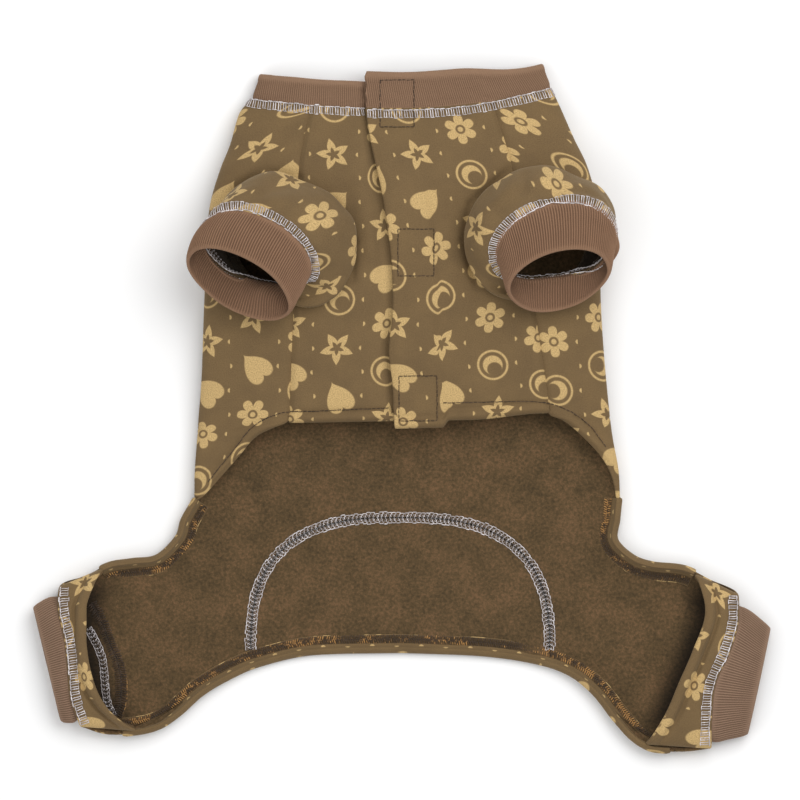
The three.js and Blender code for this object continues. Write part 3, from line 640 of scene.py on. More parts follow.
def cut(piece: bpy.types.Object, tool: bpy.types.Object, operation: str = "DIFFERENCE") -> None:
    """Cuts a piece with a closed tool and applies the cut.

    Args:
        piece: what is cut.
        tool: a closed mesh.
        operation: DIFFERENCE leaves what is outside the tool, INTERSECT what is inside it.
    """
    modifier = piece.modifiers.new("cut", "BOOLEAN")
    modifier.operation = operation
    modifier.solver = "MANIFOLD"
    modifier.object = tool
    bpy.ops.object.select_all(action="DESELECT")
    bpy.context.view_layer.objects.active = piece
    bpy.ops.object.modifier_apply(modifier=modifier.name)


def finish_piece(
    piece: bpy.types.Object,
    node: str | None,
    materials: Sequence[bpy.types.Material],
) -> None:
    """Dresses a piece and says what it is.

    Args:
        piece: the finished mesh.
        node: CAD node that it stands for.
        materials: one for each material number of its faces.
    """
    kinds = np.zeros(len(piece.data.polygons), np.int32)
    piece.data.polygons.foreach_get("material_index", kinds)
    piece.data.materials.clear()
    for material in materials:
        piece.data.materials.append(material)
    piece.data.polygons.foreach_set("material_index", np.minimum(kinds, len(materials) - 1))
    if node:
        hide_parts(node)
    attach(piece, "root")
    log.info("%s: %d faces", piece.name, len(piece.data.polygons))


def linear(colour: str) -> tuple[float, float, float, float]:
    """Turns an sRGB hex colour into a linear one."""
    parts = [int(colour[i:i + 2], 16) / 255 for i in (1, 3, 5)]
    return (*(c / 12.92 if c <= 0.04045 else ((c + 0.055) / 1.055) ** 2.4 for c in parts), 1.0)


def add_node(tree: bpy.types.NodeTree, kind: str, inputs: dict | None = None, **settings: Any) -> bpy.types.Node:
    """Adds a shader node with its settings and links.

    Args:
        tree: the material's nodes.
        kind: name of the node's type after ShaderNode.
        inputs: socket name or number to a value, another node or one of its sockets.
        settings: the node's own properties.

    Returns:
        The node.
    """
    made = tree.nodes.new("ShaderNode" + kind)
    for name, value in settings.items():
        setattr(made, name, value)
    for socket, value in (inputs or {}).items():
        if isinstance(value, bpy.types.Node):
            value = value.outputs[0]
        if isinstance(value, bpy.types.NodeSocket):
            tree.links.new(value, made.inputs[socket])
        else:
            made.inputs[socket].default_value = value
    return made


def new_material(
    name: str, roughness: float, sheen: float, sheen_tint: str,
) -> tuple[bpy.types.Material, bpy.types.NodeTree, bpy.types.Node]:
    """Starts a cloth material.

    Args:
        name: the material's name.
        roughness: of the fibres.
        sheen: how much the nap catches the light at a slant.
        sheen_tint: colour of that light.

    Returns:
        The material, its nodes and its shader.
    """
    material = bpy.data.materials.new(name)
    material.use_nodes = True
    tree = material.node_tree
    shader = tree.nodes["Principled BSDF"]
    for socket, value in (
        ("Roughness", roughness), ("Sheen Weight", sheen), ("Sheen Roughness", 0.45),
        ("Sheen Tint", linear(sheen_tint)), ("Specular IOR Level", 0.25),
    ):
        shader.inputs[socket].default_value = value
    return material, tree, shader


def connect(
    tree: bpy.types.NodeTree, shader: bpy.types.Node, colour: bpy.types.NodeSocket, height: Any,
    strength: float, distance: float,
) -> None:
    """Gives a material its colour and its relief.

    Args:
        tree: the material's nodes.
        shader: its shader.
        colour: socket that holds the colour.
        height: node or socket that holds the relief.
        strength: of the relief, from 0 to 1.
        distance: depth of the relief in metres.
    """
    bump = add_node(tree, "Bump", {"Height": height, "Strength": strength, "Distance": distance})
    tree.links.new(colour, shader.inputs["Base Color"])
    tree.links.new(bump.outputs[0], shader.inputs["Normal"])


@dataclass(frozen=True)
class PrintedFleece:
    """Polyester fleece, knitted flat on the outside and printed with pale gold motifs.

    It reads as a matt brown knit with a little uneven dye. The motifs stand one to a cell, every other column
    half a cell lower, and the ink is broken where it misses the loops. All lengths are in millimetres.
    """

    ground: str = "#796241"
    ground_dark: str = "#614E35"
    ink: str = "#C9AC79"
    ink_dark: str = "#B79862"
    pitch: float = 27.0
    motif: float = 8.6
    grain: float = 1.6  # marks a millimetre: real loops are 0.3 mm, too fine to show
    cloud: float = 0.05  # uneven dye, patches of 20 mm
    edge_break: float = 1.6
    edge_blur: float = 0.35

    def make(self) -> bpy.types.Material:
        """Builds the material: knit ground, four motifs in turn and a dot at each cell's side.

        Returns:
            The material.
        """
        material, tree, shader = new_material("printed_fleece", 0.88, 0.25, "#D8C8A8")
        place = add_node(tree, "UVMap", uv_map="pattern")
        grain = add_node(tree, "TexNoise", {"Vector": place, "Scale": self.grain, "Detail": 4.0, "Roughness": 0.7})
        cloud = add_node(tree, "TexNoise", {"Vector": place, "Scale": self.cloud, "Detail": 3.0, "Roughness": 0.6})
        wobble = add_node(tree, "Math", {0: grain, 1: 0.5}, operation="SUBTRACT")
        wobble = add_node(tree, "Math", {0: wobble, 1: self.edge_break}, operation="MULTIPLY")
        split = add_node(tree, "SeparateXYZ", {0: place})
        across, down = (
            add_node(tree, "Math", {0: split.outputs[i], 1: 1 / self.pitch}, operation="MULTIPLY") for i in (0, 1)
        )
        column = add_node(tree, "Math", {0: across}, operation="FLOOR")
        odd = add_node(tree, "Math", {0: column, 1: 2.0}, operation="FLOORED_MODULO")
        dropped = add_node(tree, "Math", {0: odd, 1: 0.5, 2: down}, operation="MULTIPLY_ADD")
        row = add_node(tree, "Math", {0: dropped}, operation="FLOOR")
        cell = []
        for value, shift in ((across, 0.0), (dropped, 0.0), (across, 0.5)):
            share = add_node(tree, "Math", {0: value, 1: shift}, operation="ADD")
            share = add_node(tree, "Math", {0: share, 1: 1.0}, operation="FLOORED_MODULO")
            cell.append(add_node(tree, "Math", {0: share, 1: self.pitch, 2: -self.pitch / 2}, operation="MULTIPLY_ADD"))
        local = add_node(tree, "CombineXYZ", {0: cell[0], 1: cell[1]})
        swing = row
        for operation, numbers in (
            ("MULTIPLY_ADD", {1: 1.7, 2: column}), ("MULTIPLY", {1: 2.1}), ("SINE", {}), ("MULTIPLY", {1: 0.9}),
        ):
            swing = add_node(tree, "Math", {0: swing, **numbers}, operation=operation)
        turned = add_node(tree, "VectorRotate", {"Vector": local, "Angle": swing}, rotation_type="Z_AXIS")
        xyz = add_node(tree, "SeparateXYZ", {0: turned})
        radius = add_node(tree, "VectorMath", {0: turned}, operation="LENGTH").outputs["Value"]
        angle = add_node(tree, "Math", {0: xyz.outputs[0], 1: xyz.outputs[1]}, operation="ARCTAN2")

        def lobes(count: int, power: float, depth: float, size: float) -> bpy.types.Node:
            """Draws a flower or a star.

            Args:
                count: number of petals or points.
                power: above 1 rounds them, below 1 points them.
                depth: how deep the notches are, as a share of the size.
                size: reach from the middle.

            Returns:
                Distance outside the shape.
            """
            edge = angle
            for operation, numbers in (
                ("MULTIPLY", {1: count / math.tau}), ("PINGPONG", {1: 0.5}), ("MULTIPLY", {1: 2.0}),
                ("POWER", {1: power}), ("MULTIPLY_ADD", {1: -depth * size, 2: size}),
            ):
                edge = add_node(tree, "Math", {0: edge, **numbers}, operation=operation)
            return add_node(tree, "Math", {0: radius, 1: edge}, operation="SUBTRACT")

        def band(middle: float, half: float) -> bpy.types.Node:
            """Draws a ring, or a disc where its middle is 0.

            Args:
                middle: radius of the ring's middle line.
                half: half of its width.

            Returns:
                Distance outside the shape.
            """
            off = add_node(tree, "Math", {0: radius, 1: middle}, operation="SUBTRACT")
            off = add_node(tree, "Math", {0: off}, operation="ABSOLUTE")
            return add_node(tree, "Math", {0: off, 1: half}, operation="SUBTRACT")

        hole = add_node(tree, "Math", {0: 2.7, 1: radius}, operation="SUBTRACT")
        flower = add_node(tree, "Math", {0: lobes(6, 2.6, 0.5, self.motif), 1: hole}, operation="MAXIMUM")
        flower = add_node(tree, "Math", {0: flower, 1: band(0.0, 1.5)}, operation="MINIMUM")

        star = lobes(5, 0.8, 0.6, self.motif * 1.12)
        star_hole = add_node(tree, "Math", {0: lobes(5, 0.8, 0.6, self.motif * 0.5), 1: star}, operation="MAXIMUM")
        star_hole = add_node(tree, "Math", {0: star_hole, 1: -1.0}, operation="MULTIPLY")
        star = add_node(tree, "Math", {0: star, 1: star_hole}, operation="MAXIMUM")

        heart_size = 7.6
        side = add_node(tree, "Math", {0: xyz.outputs[0]}, operation="ABSOLUTE")
        side = add_node(tree, "Math", {0: side, 1: 1 / heart_size}, operation="MULTIPLY")
        root = add_node(tree, "Math", {0: side}, operation="SQRT")
        rise = add_node(tree, "Math", {0: xyz.outputs[1], 1: 1 / heart_size, 2: 0.14}, operation="MULTIPLY_ADD")
        rise = add_node(tree, "Math", {0: root, 1: -0.72, 2: rise}, operation="MULTIPLY_ADD")
        square = add_node(tree, "Math", {0: rise, 1: rise}, operation="MULTIPLY")
        heart = add_node(tree, "Math", {0: side, 1: side, 2: square}, operation="MULTIPLY_ADD")
        heart = add_node(tree, "Math", {0: heart, 1: 3.4, 2: -3.4}, operation="MULTIPLY_ADD")

        bite = add_node(tree, "VectorMath", {0: turned, 1: (2.3, 1.4, 0)}, operation="SUBTRACT")
        bite = add_node(tree, "VectorMath", {0: bite}, operation="LENGTH").outputs["Value"]
        bite = add_node(tree, "Math", {0: 4.1, 1: bite}, operation="SUBTRACT")
        moon = add_node(tree, "Math", {0: band(0.0, 5.4), 1: bite}, operation="MAXIMUM")
        moon = add_node(tree, "Math", {0: moon, 1: band(self.motif * 0.93, 0.6)}, operation="MINIMUM")

        kind = add_node(tree, "Math", {0: row, 1: 3.0, 2: column}, operation="MULTIPLY_ADD")
        kind = add_node(tree, "Math", {0: kind, 1: 4.0}, operation="FLOORED_MODULO")
        inked: bpy.types.Node | float = 0.0
        for number, shape in enumerate((flower, heart, star, moon)):
            here = add_node(tree, "Math", {0: kind, 1: float(number), 2: 0.4}, operation="COMPARE")
            edge = add_node(tree, "Math", {0: shape, 1: wobble}, operation="ADD")
            soft = add_node(tree, "MapRange", {
                "Value": edge, "From Min": self.edge_blur, "From Max": -self.edge_blur,
            }, interpolation_type="SMOOTHSTEP")
            inked = add_node(tree, "Math", {0: here, 1: soft, 2: inked}, operation="MULTIPLY_ADD")
        dot = add_node(tree, "CombineXYZ", {0: cell[2], 1: cell[1]})
        dot = add_node(tree, "VectorMath", {0: dot}, operation="LENGTH").outputs["Value"]
        dot = add_node(tree, "Math", {0: dot, 1: wobble}, operation="ADD")
        dot = add_node(tree, "MapRange", {
            "Value": dot, "From Min": 1.5, "From Max": 1.0,
        }, interpolation_type="SMOOTHSTEP")
        inked = add_node(tree, "Math", {0: inked, 1: dot}, operation="MAXIMUM")
        cover = add_node(tree, "MapRange", {
            "Value": grain, "From Min": 0.3, "From Max": 0.52, "To Min": 0.62, "To Max": 0.96,
        })
        inked = add_node(tree, "Math", {0: inked, 1: cover}, operation="MULTIPLY")

        ground, ink = (
            add_node(tree, "Mix", {0: share, 6: linear(dark), 7: linear(light)}, data_type="RGBA").outputs[2]
            for share, dark, light in ((cloud, self.ground_dark, self.ground), (grain, self.ink_dark, self.ink))
        )
        fibres = add_node(tree, "MapRange", {
            "Value": grain, "From Min": 0.25, "From Max": 0.75, "To Min": 0.7, "To Max": 1.27,
        })
        colour = add_node(tree, "Mix", {0: inked, 6: ground, 7: ink}, data_type="RGBA")
        colour = add_node(tree, "VectorMath", {0: colour.outputs[2], 1: fibres}, operation="MULTIPLY")
        height = add_node(tree, "Math", {0: inked, 1: 0.12, 2: grain}, operation="MULTIPLY_ADD")
        connect(tree, shader, colour.outputs[0], height, 0.45, 0.0004)
        return material


@dataclass(frozen=True)
class BrushedFleece:
    """The inside of the fleece: a short brushed nap that clumps and catches little light.

    Its single fibres are far too fine to show, so the nap is drawn as clumps of 1.6 and 2.4 mm.
    """

    light: str = "#6F543A"
    middle: str = "#57452D"
    dark: str = "#3E3220"
    # near-black painted shade, which the fleece fades to inside the legs and sleeves
    painted_shade: str = "#0F0B07"
    mottle: float = 60.0  # marks a metre
    nap: float = 620.0
    clumps: float = 420.0

    def make(self) -> bpy.types.Material:
        """Builds the material: clumps of nap over a slow mottle, with painted shade towards near-black where the shade
        attribute falls to 0.

        Returns:
            The material.
        """
        material, tree, shader = new_material("brushed_fleece", 0.95, 0.35, "#A89070")
        place = add_node(tree, "TexCoord").outputs["Object"]
        mottle = add_node(tree, "TexNoise", {"Vector": place, "Scale": self.mottle, "Detail": 2.0, "Roughness": 0.5})
        nap = add_node(tree, "TexNoise", {"Vector": place, "Scale": self.nap, "Detail": 4.0, "Roughness": 0.75})
        clumps = add_node(tree, "TexVoronoi", {
            "Vector": place, "Scale": self.clumps, "Randomness": 1.0,
        }, feature="SMOOTH_F1")
        mixed = add_node(tree, "Math", {0: nap, 1: 0.8, 2: -0.05}, operation="MULTIPLY_ADD")
        mixed = add_node(tree, "Math", {0: mottle, 1: 0.3, 2: mixed}, operation="MULTIPLY_ADD")
        ramp = add_node(tree, "ValToRGB", {0: mixed})
        stops = ramp.color_ramp.elements
        stops[0].position, stops[0].color = 0.33, linear(self.dark)
        stops[1].position, stops[1].color = 0.66, linear(self.light)
        stops.new(0.5).color = linear(self.middle)
        height = add_node(tree, "Math", {0: clumps.outputs[0], 1: -0.8, 2: nap}, operation="MULTIPLY_ADD")
        # painted shade: where the shade attribute falls to 0, the colour fades to near-black inside the legs and the
        # sleeves
        shade = add_node(tree, "Attribute", attribute_name="shade").outputs["Fac"]
        colour = add_node(tree, "Mix", {0: shade, 6: linear(self.painted_shade), 7: ramp.outputs[0]}, data_type="RGBA")
        connect(tree, shader, colour.outputs[2], height, 0.7, 0.0009)
        return material


@dataclass(frozen=True)
class RibKnit:
    """Cotton rib with a little elastane: rows of fine stitches on each rib, with painted shade between the ribs."""

    name: str
    top: str
    groove_shade: str
    grain: float = 1.9  # marks a millimetre
    cloud: float = 0.09
    rows: float = 0.34  # rows of stitches, one each 0.9 mm: the real 0.5 mm wouldn't show

    def make(self) -> bpy.types.Material:
        """Builds the material from the shade attribute, which is 1 on a rib and 0 between ribs, where the colour turns
        to painted shade.

        Returns:
            The material.
        """
        material, tree, shader = new_material(self.name, 0.92, 0.3, "#C8B09C")
        place = add_node(tree, "UVMap", uv_map="pattern")
        shade = add_node(tree, "Attribute", attribute_name="shade").outputs["Fac"]
        grain = add_node(tree, "TexNoise", {"Vector": place, "Scale": self.grain, "Detail": 3.0, "Roughness": 0.7})
        cloud = add_node(tree, "TexNoise", {"Vector": place, "Scale": self.cloud, "Detail": 2.0})
        rows = add_node(tree, "TexWave", {
            "Vector": place, "Scale": self.rows, "Distortion": 1.2, "Detail": 1.0,
        }, bands_direction="Y")
        depth = add_node(tree, "Math", {0: grain, 1: 0.5, 2: shade}, operation="MULTIPLY_ADD")
        depth = add_node(tree, "Math", {0: depth, 1: -0.25}, operation="ADD")
        depth = add_node(tree, "Math", {0: cloud, 1: 0.3, 2: depth}, operation="MULTIPLY_ADD")
        depth = add_node(tree, "MapRange", {"Value": depth, "From Min": 0.0, "From Max": 1.1})
        # painted shade: the colour darkens into the grooves between the ribs
        colour = add_node(tree, "Mix", {0: depth, 6: linear(self.groove_shade), 7: linear(self.top)}, data_type="RGBA")
        height = add_node(tree, "Math", {0: rows.outputs["Fac"], 1: 0.5, 2: grain}, operation="MULTIPLY_ADD")
        connect(tree, shader, colour.outputs[2], height, 0.5, 0.0004)
        return material


@dataclass(frozen=True)
class HookTape:
    """Woven polyamide hook tape: a close dark weave, with lighter rows of tiny hooks 1.4 mm apart."""

    base: str = "#3E3226"
    hooks: str = "#5A4A38"
    spacing: float = 700.0  # hooks a metre

    def make(self) -> bpy.types.Material:
        """Builds the material: a grid of hooks over the weave.

        Returns:
            The material.
        """
        material, tree, shader = new_material("hook_tape", 0.6, 0.1, "#A09080")
        place = add_node(tree, "TexCoord").outputs["Object"]
        hooks = add_node(tree, "TexVoronoi", {"Vector": place, "Scale": self.spacing, "Randomness": 0.25})
        mask = add_node(tree, "MapRange", {
            "Value": hooks.outputs[0], "From Min": 0.15, "From Max": 0.45, "To Min": 1.0, "To Max": 0.0,
        })
        colour = add_node(tree, "Mix", {0: mask, 6: linear(self.base), 7: linear(self.hooks)}, data_type="RGBA")
        connect(tree, shader, colour.outputs[2], mask, 0.8, 0.0006)
        return material


@dataclass(frozen=True)
class SpunThread:
    """Spun polyester sewing thread: matt, with uneven dye along its length. Its scales are marks a metre."""

    name: str
    light: str
    dark: str
    scale: float = 260.0
    flecks: float = 0.1
    golden: float = 0.46  # where the dark colour gives way to the light one
    twist: float = 3200.0

    def make(self) -> bpy.types.Material:
        """Builds the material: patches along the thread and a fine twist in the bump.

        Returns:
            The material.
        """
        material, tree, shader = new_material(self.name, 0.7, 0.2, "#D8D0C8")
        place = add_node(tree, "TexCoord").outputs["Object"]
        patches = add_node(tree, "TexNoise", {"Vector": place, "Scale": self.scale, "Detail": 2.0, "Roughness": 0.6})
        twist, flecks = (
            add_node(tree, "TexNoise", {"Vector": place, "Scale": scale, "Detail": 1.0})
            for scale in (self.twist, 8 * self.scale)
        )
        mask = add_node(tree, "Math", {0: flecks, 1: self.flecks, 2: patches}, operation="MULTIPLY_ADD")
        start = self.golden + self.flecks / 2
        mask = add_node(tree, "MapRange", {"Value": mask, "From Min": start, "From Max": start + 0.12})
        colour = add_node(tree, "Mix", {0: mask, 6: linear(self.dark), 7: linear(self.light)}, data_type="RGBA")
        connect(tree, shader, colour.outputs[2], twist, 0.5, 0.0002)
        return material


@dataclass
class Finishes:
    """All the materials, made once."""

    printed: bpy.types.Material = field(default_factory=PrintedFleece().make)
    fleece: bpy.types.Material = field(default_factory=BrushedFleece().make)
    # The second colour of each rib knit is painted shade between its ribs.
    collar: bpy.types.Material = field(default_factory=RibKnit("collar_rib_knit", "#8C6F58", "#5E4635").make)
    cuff: bpy.types.Material = field(default_factory=RibKnit("front_cuff_knit", "#8C6C54", "#573F2F").make)
    hind_cuff: bpy.types.Material = field(default_factory=RibKnit("hind_cuff_knit", "#8E735F", "#5E4939").make)
    tape: bpy.types.Material = field(default_factory=HookTape().make)
    white_thread: bpy.types.Material = field(
        default_factory=SpunThread("pale_grey_thread", "#E4DEDF", "#B9B1B0").make)
    dark_thread: bpy.types.Material = field(
        default_factory=SpunThread("dark_brown_thread", "#4A382A", "#2E2219").make)
    overlock: bpy.types.Material = field(
        default_factory=SpunThread("overlock_thread", "#B8894F", "#453526", 75.0, 0.5, 0.5).make)


@dataclass(frozen=True)
class Strand:
    """A short length of thread: points along the seam, across it and above the cloth, in millimetres."""

    points: tuple[tuple[float, float, float], ...]
    radius: float = 0.24
    sides: int = 4

    def model(self) -> tuple[Grid, list[list[int]]]:
        """Extrudes the thread from a small disc.

        Returns:
            Its points and its faces.
        """
        points = [Vector(point) for point in self.points]
        way = points[1] - points[0]
        bpy.ops.mesh.primitive_circle_add(
            vertices=self.sides, radius=self.radius, fill_type="NGON",
            location=points[0], rotation=way.to_track_quat("Z", "Y").to_euler(),
        )
        made = bpy.context.object
        bpy.ops.object.mode_set(mode="EDIT")
        for a, b in zip(points, points[1:]):
            bpy.ops.mesh.extrude_region_move(TRANSFORM_OT_translate={"value": b - a})
        bpy.ops.mesh.select_all(action="SELECT")
        bpy.ops.mesh.normals_make_consistent(inside=False)
        bpy.ops.object.mode_set(mode="OBJECT")
        places = np.array([made.matrix_world @ vertex.co for vertex in made.data.vertices])
        faces = [list(polygon.vertices) for polygon in made.data.polygons]
        mesh = made.data
        bpy.data.objects.remove(made)
        bpy.data.meshes.remove(mesh)
        return places, faces


class StitchKind(Enum):
    """The seams of the garment: the length of one repeat, and its threads."""

    COVER = (2.9, (
        Strand(((0.05, 2.2, 0.05), (0.6, 2.3, 0.38), (2.3, 2.3, 0.38), (2.85, 2.2, 0.05)), 0.32),
        Strand(((0.3, 2.1, 0.1), (0.55, 0.9, 0.34), (0.7, -1.9, 0.05)), 0.27),
        Strand(((1.55, 2.1, 0.1), (1.8, 0.9, 0.34), (1.95, -2.2, 0.05)), 0.25),
        Strand(((0.3, -2.1, 0.03), (1.5, -2.2, 0.2), (2.7, -2.1, 0.03)), 0.19),
    ))
    LATTICE = (2.3, (
        Strand(((0.05, 2.8, 0.08), (0.6, 2.85, 0.4), (1.7, 2.85, 0.4), (2.25, 2.8, 0.08)), 0.26),
        Strand(((0.05, -2.8, 0.08), (0.6, -2.85, 0.4), (1.7, -2.85, 0.4), (2.25, -2.8, 0.08)), 0.26),
        Strand(((0.0, 2.7, 0.2), (1.1, 0.1, 0.4), (2.3, 2.7, 0.2)), 0.2),
        Strand(((0.0, -2.7, 0.2), (1.2, -0.1, 0.44), (2.3, -2.7, 0.2)), 0.2),
        Strand(((0.2, 0.6, 0.3), (1.2, 1.7, 0.42), (2.1, 0.6, 0.3)), 0.15),
        Strand(((0.2, -0.6, 0.3), (1.2, -1.7, 0.42), (2.1, -0.6, 0.3)), 0.15),
    ))
    OVERLOCK = (1.25, (
        Strand(((0.0, 0.3, 0.2), (0.35, 1.3, 0.66), (0.6, 2.3, 0.1)), 0.29),
        Strand(((0.5, -0.2, 0.2), (0.8, -1.2, 0.66), (1.05, -2.3, 0.1)), 0.29),
        Strand(((0.0, 0.0, 0.35), (1.25, 0.0, 0.35)), 0.22),
    ))
    TOP = (2.4, (Strand(((0.15, 0, -0.05), (0.6, 0, 0.2), (1.7, 0, 0.2), (2.15, 0, -0.05)), 0.22),))


@dataclass
class Seam:
    """A line of stitches on the cloth: points and the cloth's normals, in millimetres."""

    name: str
    kind: StitchKind
    path: Grid
    normals: Grid
    width: float = 1.0
    seed: int = 1
    unevenness: float = 0.07
    off_floor: float = 0.02

    def make(self) -> bpy.types.Object:
        """Copies the modelled repeat along the line.

        Returns:
            The seam as one mesh.
        """
        points: list[Grid] = []
        faces: list[list[int]] = []
        count = 0
        pitch, strands = self.kind.value
        for strand in strands:
            places, sides = strand.model()
            points.append(places)
            faces += [[i + count for i in face] for face in sides]
            count += len(places)
        repeat = np.vstack(points)
        lengths = lengths_along(self.path)
        copies = max(round(lengths[-1] / pitch), 1)
        fitted = lengths[-1] / copies
        tangent = unit(np.gradient(self.path, axis=0))
        normal = unit(self.normals - tangent * np.sum(self.normals * tangent, axis=1, keepdims=True))
        side = np.cross(normal, tangent)
        rng = np.random.default_rng(self.seed)
        uneven = rng.normal(0, self.unevenness, (copies, 3))
        all_points, all_faces = [], []
        for k in range(copies):
            along = (k + repeat[:, 0] / pitch) * fitted + uneven[k, 0]
            at, aside, up = (
                np.stack([np.interp(along, lengths, line[:, i]) for i in range(3)], axis=1)
                for line in (self.path, side, normal)
            )
            wide = repeat[:, 1] * self.width * (1 + uneven[k, 1]) + uneven[k, 2]
            all_points.append(at + aside * wide[:, None] + up * repeat[:, 2][:, None])
            all_faces += [[i + k * count for i in face] for face in faces]
        places = np.vstack(all_points)
        places[:, 2] = np.maximum(places[:, 2], self.off_floor)
        mesh = bpy.data.meshes.new(self.name)
        mesh.from_pydata((places * MM).tolist(), [], all_faces)
        mesh.polygons.foreach_set("use_smooth", np.ones(len(all_faces), bool))
        mesh.update()
        seam = bpy.data.objects.new(self.name, mesh)
        bpy.context.scene.collection.objects.link(seam)
        return seam


@dataclass
class Sewing:
    """Every line of stitches that shows, laid on the finished pieces."""

    finishes: Finishes
    pieces: dict[str, bpy.types.Object]
    trees: dict[str, BVHTree] = field(default_factory=dict)
    gap_reach: float = 1.2  # how far aside the cloth is looked for too, where the line runs along a gap
    averaged: int = 15
    above: float = 90.0

    def lay(self, path: Grid, toward: Grid, on: Sequence[str], reach: float) -> tuple[Grid, Grid]:
        """Lays a line on the cloth, over any seam gap that it follows.

        Args:
            path: points near the cloth.
            toward: direction in which the cloth is looked for.
            on: names of the pieces.
            reach: how far before each point the search begins.

        Returns:
            The points on the cloth and its normals there.
        """
        for name in on:
            if name not in self.trees:
                mesh = self.pieces[name].data
                faces = [tuple(face.vertices) for face in mesh.polygons]
                self.trees[name] = BVHTree.FromPolygons([vertex.co for vertex in mesh.vertices], faces)
        toward = np.broadcast_to(toward, path.shape)
        aside = self.gap_reach * unit(np.cross(np.gradient(path, axis=0), toward))
        depths, normals = [], []
        for point, way, off in zip(path, toward, aside):
            hits = []
            for name in on:
                for shift in (-off, 0 * off, off):
                    start = Vector((point + shift - way * reach) * MM)
                    _, normal, _, depth = self.trees[name].ray_cast(start, Vector(way))
                    if depth is not None:
                        hits.append((depth / MM, np.array(normal)))
            near = min((hit[0] for hit in hits), default=reach)
            depths.append(near - reach)
            normals.append(np.mean([hit[1] for hit in hits if hit[0] < near + 1] or [-way], axis=0))
        depth = smoothed(np.array(depths), self.averaged)
        facing = np.stack([smoothed(np.array(normals)[:, i], self.averaged) for i in range(3)], axis=1)
        return path + toward * depth[:, None], unit(facing)

    def sew(self, name: str, kind: StitchKind, path: Grid, toward: Grid, on: Sequence[str],
            thread: bpy.types.Material, width: float = 1.0, reach: float = 6.0) -> None:
        """Sews one line and finishes it as a piece of its own."""
        self.add(name, kind, self.lay(path, toward, on, reach), thread, width)

    def add(
        self, name: str, kind: StitchKind, line: tuple[Grid, Grid], thread: bpy.types.Material, width: float,
    ) -> None:
        """Makes one line of stitches.

        Args:
            name: the piece's name.
            kind: which stitch.
            line: its points and the cloth's normals there.
            thread: its material.
            width: share of the stitch's own width.
        """
        seam = Seam(name, kind, *line, width, len(name)).make()
        finish_piece(seam, None, (thread,))
        self.pieces[name] = seam

    def sew_from_above(self, name: str, kind: StitchKind, flat: Grid, on: Sequence[str],
                       thread: bpy.types.Material, width: float = 1.0) -> None:
        """Sews a line that is given in plan."""
        path = np.column_stack([flat, np.full(len(flat), self.above)])
        self.sew(name, kind, path, np.array([0, 0, -1.0]), on, thread, width, 0.0)

    def build(
        self, torso: "Torso", collar: "Collar", sleeves: Sequence["FrontSleeve"], legs: Sequence["HindLeg"],
    ) -> None:
        """Sews the collar, sleeves, legs, rump, flap and belly hem.

        Args:
            torso: gives the arch at the rump and the flap's edge.
            collar: gives the line of the neck seam.
            sleeves: give the lines of the cuff seams.
            legs: give the lines of the hind cuff seams.
        """
        white, dark, overlock = self.finishes.white_thread, self.finishes.dark_thread, self.finishes.overlock
        self.sew_from_above("rump_flatlock", StitchKind.LATTICE, torso.rump_arch(0.2, 500), ("back", "rump"), white)
        count = 1300
        band = np.array([collar.row(share, count) for share in (-0.22, -0.17)])
        toward = grid_normals(band)[1]
        start = torso.body.flap_x(torso.body.neck_seam_y) - 0.5
        shown = np.arange(count) > np.argmax(band[1][:, 0] < start)
        self.sew("collar_coverstitch", StitchKind.COVER, band[1][shown][::-1], toward[shown][::-1],
                 ("back", "left_chest", "right_chest"), white)
        for sleeve in sleeves:
            outside, inside = sleeve.seam_lines()
            self.add(f"{sleeve.side.value}_sleeve_flatlock", StitchKind.COVER, outside, white, 1.05)
            self.add(f"{sleeve.side.value}_sleeve_looper", StitchKind.LATTICE, inside, white, 0.8)
        over = np.linspace(0.015, 0.985, 300)
        for leg in legs:
            name, turn = leg.side.value, -leg.side.sign
            line = leg.seam_point(over)
            line[:, 0] += turn * leg.stitch_inset
            self.sew_from_above(
                f"{name}_leg_flatlock", StitchKind.COVER, line[::-turn], (f"{name}_leg_front",), white, 1.05)
        threads = {"white": white, "brown": dark, "golden": overlock}
        for name, kind, thread, width, places in LEG_INSIDE_SEAMS:
            self.sew_from_above(name, kind, traced(places, 200), ("back",), threads[thread], width)
        for name, (left, top, right, bottom) in FLAP_BOXES.items():
            corners = np.array([(left, top), (right, top), (right, bottom), (left, bottom), (left, top)], float)
            box = resample(in_view(*corners.T), 320)
            self.sew_from_above(name, StitchKind.TOP, box, ("right_chest", "collar"), dark)
        for name, places in BELLY_HEM_LINES.items():
            self.sew_from_above(
                name, StitchKind.TOP, traced(places, 260), ("back", "left_chest", "right_chest"), dark)


FLAP_BOXES = {"upper_box": (380, 80, 414, 127), "middle_box": (398, 229, 434, 276), "lower_box": (399, 376, 437, 421)}
BELLY_HEM_LINES = {
    "left_belly_hem_line": ((208, 482), (232, 452), (254, 426), (282, 413), (320, 411), (389, 408)),
    "right_belly_hem_line": ((443, 403), (486, 402), (538, 402), (563, 408), (588, 424), (606, 447)),
}
LEG_INSIDE_SEAMS = (
    ("left_leg_looper", StitchKind.LATTICE, "white", 0.72,
     ((88, 628), (97, 645), (103, 662), (105, 685), (107, 702), (113, 716))),
    ("left_leg_overlock", StitchKind.OVERLOCK, "brown", 1.35,
     ((91, 603), (102, 622), (110, 643), (117, 660), (121, 680), (120, 703), (116, 717))),
    ("left_leg_edge_thread", StitchKind.TOP, "golden", 1.0,
     ((115, 652), (123, 664), (127, 682), (126, 703), (121, 719))),
)


